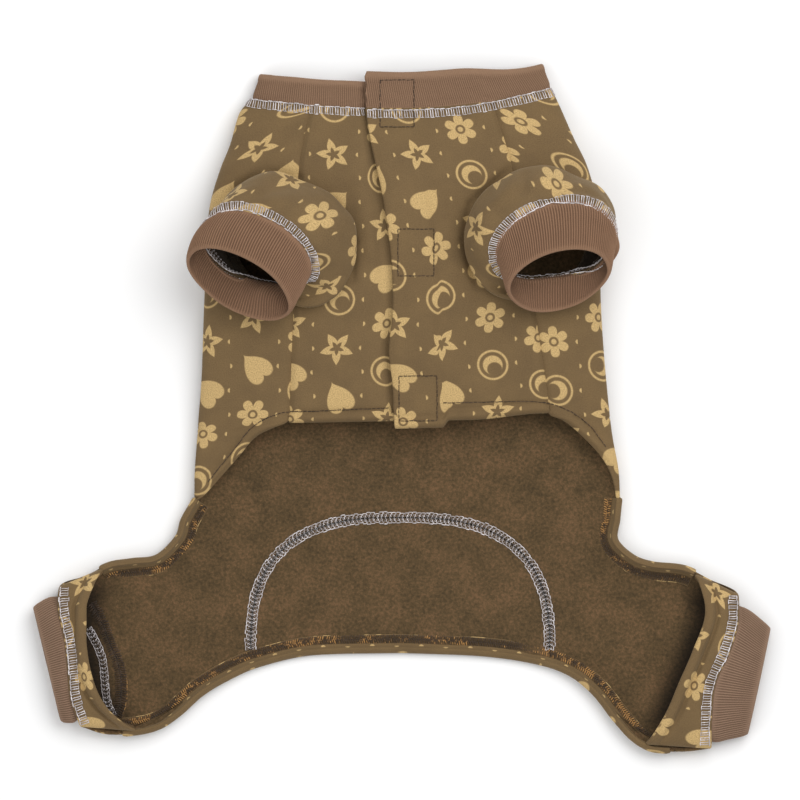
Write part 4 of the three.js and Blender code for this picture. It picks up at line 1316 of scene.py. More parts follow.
@dataclass
class Torso:
    """Back panel, rump panel and the two chest panels with their closing flap."""

    body: Body
    finishes: Finishes
    wall: float = 2.0
    seam_gap: float = 0.4
    lap: float = 21.0
    lap_ramp: float = 5.5
    flap_raise: float = 1.5
    hook_thickness: float = 1.2
    layer_clearance: float = 0.3
    rump_half_width: float = 82.0
    rump_length: float = 73.0
    rump_centre_x: float = -1.0
    rump_squareness: float = 2.7
    tool_height: float = 120.0
    tab: float = 4.0
    half_columns: int = 96
    upper_rows: int = 104
    lower_steps: int = 8
    edge_crowding: float = 1.35
    belly_wave: float = 0.9
    floor_wave: float = 0.8
    fold_calm: float = 14.0
    belly_ripples: Ripples = Ripples(3, 34, 70)
    back_ripples: Ripples = Ripples(11, 30, 64)
    seam_dip: float = 1.3
    seam_dip_width: float = 2.8
    leg_edges: Sequence[Grid] = ()
    # How far and how strongly the painted shade darkens the fleece inside the legs.
    painted_shade_reach: float = 17.0
    painted_shade_strength: float = 0.86
    belly_creases: tuple[Crease, ...] = (
        Crease((371, 118), (388, 330), 3.6, -2.3), Crease((352, 150), (372, 260), 6, 1.5),
        Crease((386, 320), (392, 404), 3.4, -1.7), Crease((216, 202), (264, 172), 2.8, -3.6),
        Crease((262, 172), (304, 178), 2.6, -2.6), Crease((330, 196), (356, 246), 2.6, -3.0),
        Crease((352, 238), (352, 284), 2.6, -2.6), Crease((464, 244), (471, 200), 2.6, -3.0),
        Crease((468, 206), (512, 168), 2.6, -3.0), Crease((464, 236), (478, 292), 2.6, -2.6),
        Crease((462, 190), (470, 300), 5, -1.3), Crease((452, 300), (520, 330), 6, 0.9),
        Crease((215, 196), (252, 150), 6, -1.1), Crease((560, 120), (600, 190), 6, 1.0),
        Crease((300, 330), (380, 352), 7, 0.8), Crease((235, 330), (262, 400), 8, 1.0),
        Crease((560, 330), (575, 400), 8, 1.0),
    )
    floor_creases: tuple[Crease, ...] = (
        Crease((232, 500), (226, 610), 8, 2.2), Crease((300, 470), (420, 500), 11, 1.6),
        Crease((560, 500), (600, 600), 9, 2.0), Crease((150, 640), (235, 620), 10, 1.5),
        Crease((560, 640), (660, 660), 10, 1.5),
    )

    @property
    def stack(self) -> float:
        """Height of the layers between the flap and the panel under it."""
        return self.wall + self.hook_thickness + 2 * self.layer_clearance

    def belly_lift(self, x: Grid, y: Grid) -> Grid:
        """Adds up the soft waves and folds of the upper skin, which fade out at the neck seam.

        Args:
            x: places across.
            y: places along.

        Returns:
            Height above the plain body.
        """
        fade = smoothstep(self.body.y_to_down(y), 0.0, 0.08)
        total = self.belly_wave * fade * self.belly_ripples.at(x, y)
        for crease in self.belly_creases:
            total = total + crease.at(x, y)
        return total

    def floor_lift(self, x: Grid, y: Grid) -> Grid:
        """Adds up the soft waves of the panel that lies on the floor.

        Args:
            x: places across.
            y: places along.

        Returns:
            Height above the floor, never below it.
        """
        total = self.floor_wave + self.floor_wave * self.back_ripples.at(x, y)
        for crease in self.floor_creases:
            total = total + crease.at(x, y)
        return np.maximum(total, 0)

    def hem_puff(self, away: Grid) -> Grid:
        """Height of the rolled belly hem at a distance from its edge, with the valley of its stitches."""
        return 1.2 * bell(away, 2.6, 2.2) - 0.9 * bell(away, 6.0, 1.3)

    def upper_half(self, y: float, side: Side) -> Grid:
        """Draws one half of a row of the back panel.

        Args:
            y: the row's place along the garment.
            side: which half.

        Returns:
            Points from the seam or the rim round the fold to the middle.
        """
        body = self.body
        down = float(body.y_to_down(y))
        rim = body.left_rim if side is Side.LEFT else body.right_rim
        is_seam = down < rim.rows[0][0]
        share = body.princess.read(side.value, down) if is_seam else rim.read("side", down)
        edge = side.sign * (body.chest_half_width * share + self.seam_gap / 2)
        left, right, _ = body.section(np.array(y))
        fold = float(left if side is Side.LEFT else right)
        t = np.linspace(1, 0, 240)
        x = fold + (edge - fold) * t * t
        rows = np.full_like(x, y)
        calm = smoothstep(np.abs(x - fold), 0, self.fold_calm)
        dip = self.seam_dip * (1 - smoothstep(np.abs(x - edge), 0, self.seam_dip_width))
        z = body.upper_z(x, rows) + self.belly_lift(x, rows) * calm - dip
        if not is_seam:
            step = 0.004
            rise = float(rim.read("side", down + step) - rim.read("side", down - step))
            slope = rise * body.chest_half_width / (2 * step * body.back_length)
            z = z + self.hem_puff(np.abs(x - edge) / math.hypot(1, slope)) * calm
        upper = np.stack([x, rows + body.neck_bend(x, rows), z], axis=1)
        t = np.linspace(0, 1, 240)[1:]
        x = fold * (1 - t * t)
        rows = np.full_like(x, y)
        z = body.lower_z(x, rows) + self.floor_lift(x, rows) * smoothstep(np.abs(x - fold), 8, 40)
        lower = np.stack([x, rows + body.neck_bend(x, rows), z], axis=1)
        crowding = 1 + (self.edge_crowding - 1) * float(smoothstep(down, rim.rows[0][0], body.lower_start))
        return resample(np.vstack([upper, lower]), self.half_columns + 1, crowding)

    def lower_half(self, row: float, side: Side) -> Grid:
        """Draws one half of a row of the open rear.

        Args:
            row: place along the body's table of rows.
            side: which half.

        Returns:
            Points from the row's end to the middle.
        """
        t = np.linspace(0, 1, 480)
        x, y = self.body.lower_point(np.full_like(t, row), side, 1 - t * t).T
        z = self.body.lower_z(x, y)
        z = z + self.floor_lift(x, y) * (1 - smoothstep(z, 0, 3.5))
        return resample(np.stack([x, y, z], axis=1), self.half_columns + 1, self.edge_crowding)

    def painted_leg_shade(self, x: Grid, y: Grid) -> Grid:
        """Paints shade on the fleece inside the legs, next to their rolled edges.

        Args:
            x: places across.
            y: places along.

        Returns:
            1 where no shade is painted, and less inside the legs.
        """
        shade = np.ones_like(x)
        for edge in self.leg_edges:
            side = np.sign(edge[0, 0])
            limit = side * np.interp(y, edge[::-1, 1], edge[::-1, 0])
            front, rear = edge[0, 1], edge[-1, 1]
            within = smoothstep(y, rear - 2, rear + 18) * (1 - smoothstep(y, front - 16, front + 2)) * (x * side > 0)
            shade = shade - self.painted_shade_strength * within * (1 - smoothstep(limit - side * x, 0.5, self.painted_shade_reach))
        return shade

    def back_grid(self) -> Grid:
        """Draws the outer skin of the back panel.

        Returns:
            Rows of points from the neck to the tail edge.
        """
        body = self.body
        starts = [
            float(body.down_to_y(body.lower_start * i / self.upper_rows)) - self.seam_gap / 2
            for i in range(self.upper_rows)
        ]
        ends = np.linspace(0, body.tail_row, body.tail_row * self.lower_steps + 1)
        halves = [[self.upper_half(y, side) for side in Side] for y in starts]
        halves += [[self.lower_half(float(row), side) for side in Side] for row in ends]
        return np.array([np.vstack([left, right[:-1][::-1]]) for left, right in halves])

    def under_lap_z(self, x: Grid, y: Grid) -> Grid:
        """Finds the left chest panel, which steps down to run under the flap.

        Args:
            x: places across.
            y: places along.

        Returns:
            Height of its upper skin.
        """
        edge = self.body.flap_x(y)
        step = smoothstep(x, edge - self.lap_ramp, edge - 1)
        return self.body.upper_z(x, y) + self.belly_lift(x, y) - step * (self.stack - self.flap_raise)

    def flap_z(self, x: Grid, y: Grid) -> Grid:
        """Height of the right chest panel, which is raised where it laps over the left one."""
        end = self.body.flap_x(y) + self.lap
        raised = self.flap_raise * (1 - smoothstep(x, end, end + self.lap_ramp))
        return self.body.upper_z(x, y) + self.belly_lift(x, y) + raised

    def belly_panel(self, name: str, left: Callable, right: Callable, height: Callable, seams: tuple[bool, bool],
                    tab: float = 0.0) -> Cloth:
        """Builds one chest panel.

        Args:
            name: the piece's name.
            left: X of its left edge along Y.
            right: X of its right edge along Y.
            height: Z of its upper skin.
            seams: whether its left and right edges are sewn seams, which dip.
            tab: how far the flap's end stands below the hem, at the left edge.

        Returns:
            The panel's wall.
        """
        rows, columns = 150, 84
        start = self.body.neck_seam_y - self.seam_gap / 2
        share = np.linspace(0, 1, columns)
        guess = left(start) + (right(start) - left(start)) * share
        hem = self.body.down_to_y(self.body.belly_hem.read("down", guess / self.body.chest_half_width))
        hem = hem - tab * (1 - smoothstep(guess, guess[0] + self.lap, guess[0] + self.lap + 3))
        y = start + (hem - start)[None, :] * np.linspace(0, 1, rows)[:, None]
        x = left(y) + (right(y) - left(y)) * share[None, :]
        away = y - hem[None, :]
        z = height(x, y) + self.hem_puff(away) - (1 - smoothstep(away, 0, 1.6))
        for is_seam, edge in zip(seams, (left(y), right(y))):
            if is_seam:
                z = z - self.seam_dip * (1 - smoothstep(np.abs(x - edge), 0, self.seam_dip_width))
        grid = np.stack([x, y + self.body.neck_bend(x, y), z], axis=2)
        return Cloth(name, grid, grid + self.wall * grid_normals(grid))

    def rump_arch(self, grow: float, count: int) -> Grid:
        """Draws the U-shaped seam in plan.

        Args:
            grow: added to its half width and its length.
            count: number of points.

        Returns:
            Points from the right end to the left one.
        """
        angles = np.linspace(0, math.pi, 400)
        power = 2 / self.rump_squareness
        out = np.sign(np.cos(angles)) * np.abs(np.cos(angles)) ** power
        x = self.rump_centre_x + (self.rump_half_width + grow) * out
        y = float(self.body.down_to_y(1)) + (self.rump_length + grow) * np.sin(angles) ** power
        return resample(np.column_stack([x, y]), count)

    def rump_tool(self, grow: float) -> bpy.types.Object:
        """Makes a tall block whose front is the arch of the U-shaped seam.

        Args:
            grow: added to the arch's half width and length.

        Returns:
            The block.
        """
        arch = self.rump_arch(grow, 96)
        end = arch[0, 1] - self.rump_length
        x = np.concatenate([[arch[0, 0]], arch[:, 0], [arch[-1, 0]]])
        y = np.concatenate([[end], arch[:, 1], [end]])
        bpy.ops.mesh.primitive_circle_add(vertices=len(x), fill_type="NGON")
        tool = bpy.context.object
        for vertex, a, b in zip(tool.data.vertices, x, y):
            vertex.co = (a * MM, b * MM, -self.tool_height / 2 * MM)
        bpy.ops.object.mode_set(mode="EDIT")
        bpy.ops.mesh.extrude_region_move(TRANSFORM_OT_translate={"value": (0, 0, self.tool_height * MM)})
        bpy.ops.mesh.select_all(action="SELECT")
        bpy.ops.mesh.normals_make_consistent(inside=False)
        bpy.ops.object.mode_set(mode="OBJECT")
        tool.matrix_world.identity()
        return tool

    def build(self, plugs: Sequence[bpy.types.Object]) -> dict[str, bpy.types.Object]:
        """Makes the four panels and cuts the armholes and the rump panel out of the back.

        Args:
            plugs: closed tools where the armholes are.

        Returns:
            The pieces by name.
        """
        body = self.body
        gap = self.seam_gap / 2
        outer = self.back_grid()
        normals = -grid_normals(outer)
        lower = body.lower_normals(outer[self.upper_rows:, :, 0], outer[self.upper_rows:, :, 1])
        blend = smoothstep(np.arange(len(lower)), 0, 6)[:, None, None]
        normals[self.upper_rows:] = unit(normals[self.upper_rows:] * (1 - blend) + lower * blend)
        shade = self.painted_leg_shade(outer[..., 0], outer[..., 1])
        back = Cloth("back", outer, outer + self.wall * normals, shade=shade).make()
        left = self.belly_panel(
            "left_chest", lambda y: body.seam_x(Side.LEFT, y, gap), lambda y: body.flap_x(y) + self.lap,
            self.under_lap_z, (True, False),
        ).make()
        right = self.belly_panel(
            "right_chest", body.flap_x, lambda y: body.seam_x(Side.RIGHT, y, gap), self.flap_z, (False, True), self.tab,
        ).make()
        for plug in plugs:
            cut(back, plug)
        cut(left, plugs[0])
        cut(right, plugs[1])
        rump = back.copy()
        rump.data = back.data.copy()
        rump.name = "rump"
        bpy.context.scene.collection.objects.link(rump)
        for piece, grow, operation in ((back, self.seam_gap, "DIFFERENCE"), (rump, 0.0, "INTERSECT")):
            tool = self.rump_tool(grow)
            cut(piece, tool, operation)
            bpy.data.objects.remove(tool)
        return {"back": back, "rump": rump, "left_chest": left, "right_chest": right}


@dataclass(frozen=True)
class Dent:
    """A place where a sleeve's mouth is pushed in: its angle round the ring, its ring and its depth."""

    angle: float
    at: float
    depth: float

    def push(self, at: float, angles: Grid) -> Grid:
        """Returns how far each point of a ring is pushed in."""
        off = turned_by(angles, self.angle)
        return self.depth * np.exp(-((off / 0.6) ** 2) - ((at - self.at) / 0.85) ** 2)


@dataclass(frozen=True)
class RibBand:
    """The ribs of a cuff. Real ribs lie 1.0 mm apart: they are drawn a little wider, so that they show."""

    pitch: float
    depth: float
    swell: float
    dip: float
    lip: float
    wall: float = 1.8
    points: int = 6

    def angles(self, ring: Callable[[Grid], Grid], fine: int) -> Grid:
        """Spaces the ribs evenly round a ring.

        Args:
            ring: gives the ring's points at angles.
            fine: how many points measure it.

        Returns:
            The angles of all points of the ribs.
        """
        turn = np.linspace(0, math.tau, fine)
        length = lengths_along(ring(turn))
        count = round(length[-1] / self.pitch) * self.points
        return np.interp(np.linspace(0, length[-1], count, endpoint=False), length, turn)

    def skins(self, grid: Grid, waves: Grid) -> tuple[Grid, Grid, Grid]:
        """Raises the ribs on a plain band.

        Args:
            grid: rings of points, from the seam to the lip.
            waves: height of the band's soft waves.

        Returns:
            The outer skin, the inner skin and how much each point is on a rib.
        """
        share = np.linspace(0, 1, len(grid))[:, None]
        normals = outward_normals(grid)
        wave = np.cos(math.tau * np.arange(grid.shape[1]) / self.points)[None, :]
        strength = smoothstep(share, 0, 0.12) * (1 - 0.75 * smoothstep(share, self.lip, 1.0))
        bulge = self.swell * np.sin(math.pi * share) ** 0.7 - self.dip * np.exp(-((share * 6) ** 2))
        surface = self.depth * strength * wave + bulge + waves * smoothstep(share, 0.1, 0.5)
        outer = grid + normals * surface[..., None]
        outer[..., 2] = np.maximum(outer[..., 2], OFF_FLOOR)
        inner = grid + normals * (surface - self.wall)[..., None]
        # The last grid is the mask of the painted shade between the ribs.
        return outer, inner, (0.5 + 0.5 * wave) * strength + (1 - strength) * 0.8


@dataclass
class FrontSleeve:
    """One front sleeve with its ribbed cuff, standing up out of the armhole."""

    body: Body
    side: Side
    across: float
    down: float
    facing: float
    rings: Table
    seed: int
    dent: Dent
    lobe: tuple[float, float]
    creases: tuple[Crease, ...]
    half_width: float = 38.0
    half_depth: float = 31.0
    top: float = 53.0
    reach: float = 36.0
    wall: float = 2.0
    armhole_wide: float = 0.82
    armhole_deep: float = 0.96
    armhole_depth: float = 8.0
    seam_ring: float = 3.0
    sides: int = 132
    base_rows: int = 13
    tube_rows: int = 40
    seam_row: int = -4
    ribs: RibBand = RibBand(1.45, 0.34, 0.9, 1.1, 0.9)

    def ring(self, at: float, angles: Grid, grow: float = 0.0, shift: float = 0.0) -> Grid:
        """A ring of the sleeve, tilted so that the mouth faces out and up.

        Args:
            at: place along the table of rings.
            angles: where its points are, in radians.
            grow: added to its radius.
            shift: moved along the sleeve.

        Returns:
            The ring's points.
        """
        ring = {column: float(self.rings.read(column, at)) for column in self.rings.columns[1:]}
        facing, lean = math.radians(self.facing), math.radians(ring["lean"])
        forward = np.array([math.cos(facing), math.sin(facing), 0.0])
        side = np.array([-forward[1], forward[0], 0.0])
        up = -forward * math.sin(lean) + np.array([0, 0, math.cos(lean)])
        outward = forward * math.cos(lean) + np.array([0, 0, math.sin(lean)])
        middle = np.array([
            self.across * self.body.chest_half_width, float(self.body.down_to_y(self.down)), ring["rise"] * self.top,
        ])
        middle = middle + forward * ring["forward"] * self.reach
        middle = middle + side * ring["side"] * self.reach + outward * shift
        push = self.dent.push(at, angles)
        wide = np.cos(angles) * (ring["wide"] * self.half_width + grow - push)
        deep = np.sin(angles) * (ring["deep"] * self.half_depth + grow - push)
        return middle + np.outer(wide, side) + np.outer(deep, up)

    def armhole(self, depth: float, angles: Grid, grow: float = 0.0) -> Grid:
        """Draws the armhole's edge.

        Args:
            depth: below the body's upper skin.
            angles: where its points are, in radians.
            grow: added to its radius.

        Returns:
            The edge's points.
        """
        facing = math.radians(self.facing)
        forward = np.array([math.cos(facing), math.sin(facing)])
        side = np.array([-forward[1], forward[0]])
        middle = np.array([self.across * self.body.chest_half_width, float(self.body.down_to_y(self.down))])
        wide = self.armhole_wide * self.half_width + grow
        deep = self.armhole_deep * self.half_depth + grow
        flat = middle + np.outer(np.cos(angles) * wide, side) + np.outer(np.sin(angles) * deep, -forward)
        z = self.body.upper_z(flat[:, 0], flat[:, 1]) - depth
        return np.column_stack([flat, z])

    def plug(self) -> bpy.types.Object:
        """Makes the tool that cuts the armhole.

        Returns:
            A closed mesh.
        """
        sides = 64
        angles = np.linspace(0, math.tau, sides, endpoint=False)
        bpy.ops.mesh.primitive_cylinder_add(vertices=sides, radius=1, depth=2, end_fill_type="NGON")
        tool = bpy.context.object
        low, high = (self.armhole(depth, angles, 0.4) * MM for depth in (self.armhole_depth, -self.armhole_depth))
        corners = sorted(tool.data.vertices, key=lambda v: (v.co.z > 0, math.atan2(v.co.y, v.co.x) % math.tau))
        for corner, point in zip(corners, np.vstack([low, high])):
            corner.co = point
        bpy.ops.object.mode_set(mode="EDIT")
        bpy.ops.mesh.select_all(action="SELECT")
        bpy.ops.mesh.quads_convert_to_tris()
        bpy.ops.mesh.normals_make_consistent(inside=False)
        bpy.ops.object.mode_set(mode="OBJECT")
        return tool

    def sleeve_grid(self) -> Grid:
        """Draws the outer skin of the sleeve.

        The waves and bulges fade out on the mouth's side, where the skins would cut through each other.

        Returns:
            Rings of points, from inside the armhole to the cuff seam.
        """
        angles = np.linspace(0, math.tau, self.sides, endpoint=False)
        start = self.armhole(-0.3, angles)
        first = self.ring(0, angles)
        height = np.clip(first[:, 2:] - start[:, 2:], 0, 10)
        leave = np.array([0, 0, 1.4]) * height + (start - start.mean(axis=0)) * 0.12
        arrive = (self.ring(0.3, angles) - first) * 2.2
        rows = [self.armhole(self.wall, angles), start]
        for t in np.linspace(0, 1, self.base_rows)[1:]:
            rows.append(
                (2 * t**3 - 3 * t**2 + 1) * start + (t**3 - 2 * t**2 + t) * leave
                + (3 * t**2 - 2 * t**3) * first + (t**3 - t**2) * arrive
            )
        for at in np.linspace(0, self.seam_ring, self.tube_rows)[1:]:
            rows.append(self.ring(float(at), angles))
        grid = np.array(rows)
        x, y, z = (grid[..., i] for i in range(3))
        share = np.linspace(0, 1, len(rows))[:, None]
        open_side = smoothstep(np.sin(angles), -0.95, -0.3)
        fade = smoothstep(share, 0.04, 0.2) * (1 - smoothstep(share, 0.86, 1.0))
        waves = 2.3 * Ripples(self.seed, 26, 60, 16).at(x + 0.4 * z, y - 0.3 * z)
        waves = waves + 0.55 * Ripples(self.seed + 9, 13, 26, 12).at(x + 0.5 * z, y)
        seam_dip = -1.1 * np.exp(-(((1 - share) * 40 / 3) ** 2))
        bulge = (1.5 * bell(share, 0.27, 0.13) + 0.32 * height[:, 0] * bell(share, 0.14, 0.07)) * open_side
        lobe = self.lobe[1] * bell(turned_by(angles, self.lobe[0]), 0, 0.5)
        bulge = bulge + lobe * smoothstep(share, 0.05, 0.24) * (1 - smoothstep(share, 0.35, 0.62))
        folds = sum(crease.at(x, y) for crease in self.creases) * smoothstep(share, 0.2, 0.4)
        surface = fade * waves * open_side + bulge + seam_dip + folds
        grid = grid + outward_normals(grid) * surface[..., None]
        floor = self.body.upper_z(grid[2:, :, 0], grid[2:, :, 1]) + 0.3
        grid[2:, :, 2] = np.maximum(grid[2:, :, 2], floor)
        return grid

    def seam_lines(self) -> tuple[tuple[Grid, Grid], tuple[Grid, Grid]]:
        """Finds the lines of stitches just before the cuff's seam.

        Returns:
            A closed line on the outer and one on the inner skin, each with its normals.
        """
        outer = self.sleeve_grid()
        row, out = outer[self.seam_row], outward_normals(outer)[self.seam_row]
        around = np.append(np.arange(len(row)), 0)
        back = around[::-1]
        return (row[around] + 0.3 * out[around], out[around]), ((row - (self.wall + 0.1) * out)[back], -out[back])

    def cuff_skins(self) -> tuple[Grid, Grid, Grid]:
        """Draws the cuff.

        Returns:
            Its outer and inner skin, and how much each point is on a rib.
        """
        angles = self.ribs.angles(lambda turn: self.ring(self.seam_ring + 1, turn), 2000)
        places = np.linspace(self.seam_ring, len(self.rings.rows) - 1, 22)
        grid = np.array([self.ring(float(at), angles, 0, 0.4 if at == self.seam_ring else 0) for at in places])
        waves = Ripples(self.seed + 5, 30, 60, 14).at(grid[..., 0], grid[..., 1] + grid[..., 2])
        return self.ribs.skins(grid, waves)

    def build(self, finishes: Finishes) -> dict[str, bpy.types.Object]:
        """Makes the sleeve and its cuff.

        Args:
            finishes: all the materials.

        Returns:
            The pieces by name.
        """
        name = self.side.value
        outer = self.sleeve_grid()
        # painted shade on the fleece inside the sleeve: near-black towards the armhole, lighter only near the cuff
        shade = 0.06 + 0.5 * smoothstep(np.linspace(0, 1, len(outer)), 0.8, 1.0)[:, None] * np.ones(outer.shape[1])
        angles = np.linspace(0, math.tau, outer.shape[1], endpoint=False)
        pinched = smoothstep(-np.sin(angles), 0.1, 0.6) * bell(np.arange(len(outer))[:, None], self.base_rows + 1, 6)
        inner = outer - self.wall * (1 - 0.8 * pinched)[..., None] * outward_normals(outer)
        sleeve = Cloth(f"{name}_sleeve", outer, inner, is_tube=True, shade=shade).make()
        finish_piece(sleeve, f"front_sleeve_{name}", (finishes.printed, finishes.fleece))
        outer, inner, shade = self.cuff_skins()
        cuff = Cloth(f"{name}_front_cuff", outer, inner, is_tube=True, rim_steps=4, shade=shade).make()
        finish_piece(cuff, f"front_cuff_{name}", (finishes.cuff, finishes.cuff))
        return {f"{name}_sleeve": sleeve, f"{name}_front_cuff": cuff}


RING_COLUMNS = ("ring", "side", "forward", "rise", "wide", "deep", "lean")
LEFT_RINGS = Table(RING_COLUMNS, (
    (0, 0, 0, 0.77, 1, 1.02, 80), (1, -0.06, 0.07, 0.87, 1, 1, 68), (2, -0.15, 0.17, 0.925, 0.95, 0.92, 58),
    (3, -0.32, 0.39, 0.945, 0.88, 0.79, 50), (4, -0.33, 0.7, 0.975, 0.85, 0.74, 45),
    (5, -0.3, 0.94, 1, 0.84, 0.7, 42),
))
RIGHT_RINGS = Table(RING_COLUMNS, (
    (0, 0.1, -0.05, 0.77, 1.07, 1.13, 80), (1, 0.14, -0.01, 0.87, 1.05, 1.08, 68),
    (2, 0.2, 0.06, 0.925, 1, 0.95, 60), (3, 0.32, 0.17, 0.965, 0.9, 0.92, 52),
    (4, 0.28, 0.4, 0.975, 0.82, 0.77, 48), (5, 0.2, 0.69, 1, 0.77, 0.71, 46),
))


@dataclass
class Collar:
    """Ribbed neck band, open at the front and lapped under the flap."""

    body: Body
    torso: Torso
    length: float = 13.5
    wall: float = 2.0
    taper: float = 0.06
    rim_height: float = 15.0
    rib_pitch: float = 1.15
    rib_depth: float = 0.26
    rib_points: int = 6
    slant: float = 2.6
    flap_end_rise: float = 5.5

    def row(self, share: float, count: int) -> Grid:
        """Draws one row of the band, from under the flap round the neck to the flap's edge.

        Args:
            share: 0 at the neck seam, 1 at the rim.
            count: number of points.

        Returns:
            The row's points.
        """
        body, torso = self.body, self.torso
        y = np.array(body.neck_seam_y)
        left, right, height = (float(v) for v in body.section(y))
        height = height + (self.rim_height - height) * share
        middle = (left + right) / 2
        half = (right - left) / 2 * (1 - self.taper * share)
        flap = float(body.flap_x(y))
        end_of_lap = flap + torso.lap

        def top(x: Grid) -> Grid:
            """Height of the plain band's upper side."""
            off = np.minimum(np.abs(x - middle) / half, 1)
            return height / 2 * (1 + np.sqrt(1 - off**3))

        def bottom(x: Grid) -> Grid:
            """Height of its lower side, rolled up at both folds."""
            off = np.clip(1 - (half - np.abs(x - middle)) / (body.edge_roll * height / 2), 0, 1)
            return height / 2 * (1 - np.sqrt(1 - off * off))

        def dropped(x: Grid) -> Grid:
            """Height of the end that runs under the flap."""
            return top(x) - smoothstep(x, flap - torso.lap_ramp, flap - 1) * (torso.stack - torso.flap_raise)

        def raised(x: Grid) -> Grid:
            """Height of the end that laps over it."""
            return top(x) + torso.flap_raise * (1 - smoothstep(x, end_of_lap, end_of_lap + torso.lap_ramp))

        path = []
        t = np.linspace(0, 1, 300)
        for start, end, eased, height_at in (
            (end_of_lap, middle - half, 1 - (1 - t) ** 2, dropped),
            (middle - half, middle, t * t, bottom),
            (middle, middle + half, 1 - (1 - t) ** 2, bottom),
            (middle + half, flap, t * t, raised),
        ):
            x = start + (end - start) * eased
            rise = body.neck_bend(x, np.full_like(x, float(y)))
            if height_at is raised:
                rise = rise + self.flap_end_rise * share * (1 - smoothstep(x, 28, 74))
            path.append(np.column_stack([x, float(y) + rise + 0.2 + self.length * share, height_at(x)]))
        return resample(np.vstack(path), count)

    def build(self, finishes: Finishes) -> dict[str, bpy.types.Object]:
        """Makes the ribbed band.

        Args:
            finishes: all the materials.

        Returns:
            The piece by name.
        """
        ribs = round(lengths_along(self.row(0.5, 900))[-1] / self.rib_pitch)
        count = ribs * self.rib_points + 1
        rows = 13
        grid = np.array([self.row(share, count) for share in np.linspace(0, 1, rows)])
        share = np.linspace(0, 1, rows)[:, None]
        normals = grid_normals(grid)
        lean = self.slant * share * self.rib_points / self.rib_pitch
        wave = np.cos(math.tau * (np.arange(count)[None, :] - lean) / self.rib_points)
        strength = smoothstep(share, 0, 0.1) * (1 - 0.8 * smoothstep(share, 0.78, 0.92))
        fold = 0.7 * smoothstep(share, 0.74, 0.9) - 0.8 * np.exp(-((share * 7) ** 2))
        waves = 0.35 * Ripples(23, 20, 50, 14).at(grid[..., 0], grid[..., 1] + 2 * grid[..., 2])
        outer = grid - normals * (self.rib_depth * strength * wave + fold + waves)[..., None]
        outer[..., 2] = np.maximum(outer[..., 2], OFF_FLOOR)
        inner = grid + normals * (self.wall - 0.8 * self.rib_depth * strength * wave)[..., None]
        # The mask of the painted shade between the ribs.
        shade = (0.5 + 0.5 * wave) * strength + (1 - strength) * 0.85
        collar = Cloth("collar", outer, inner, rim_steps=4, shade=shade).make()
        finish_piece(collar, "collar_rib", (finishes.collar, finishes.collar))
        return {"collar": collar}


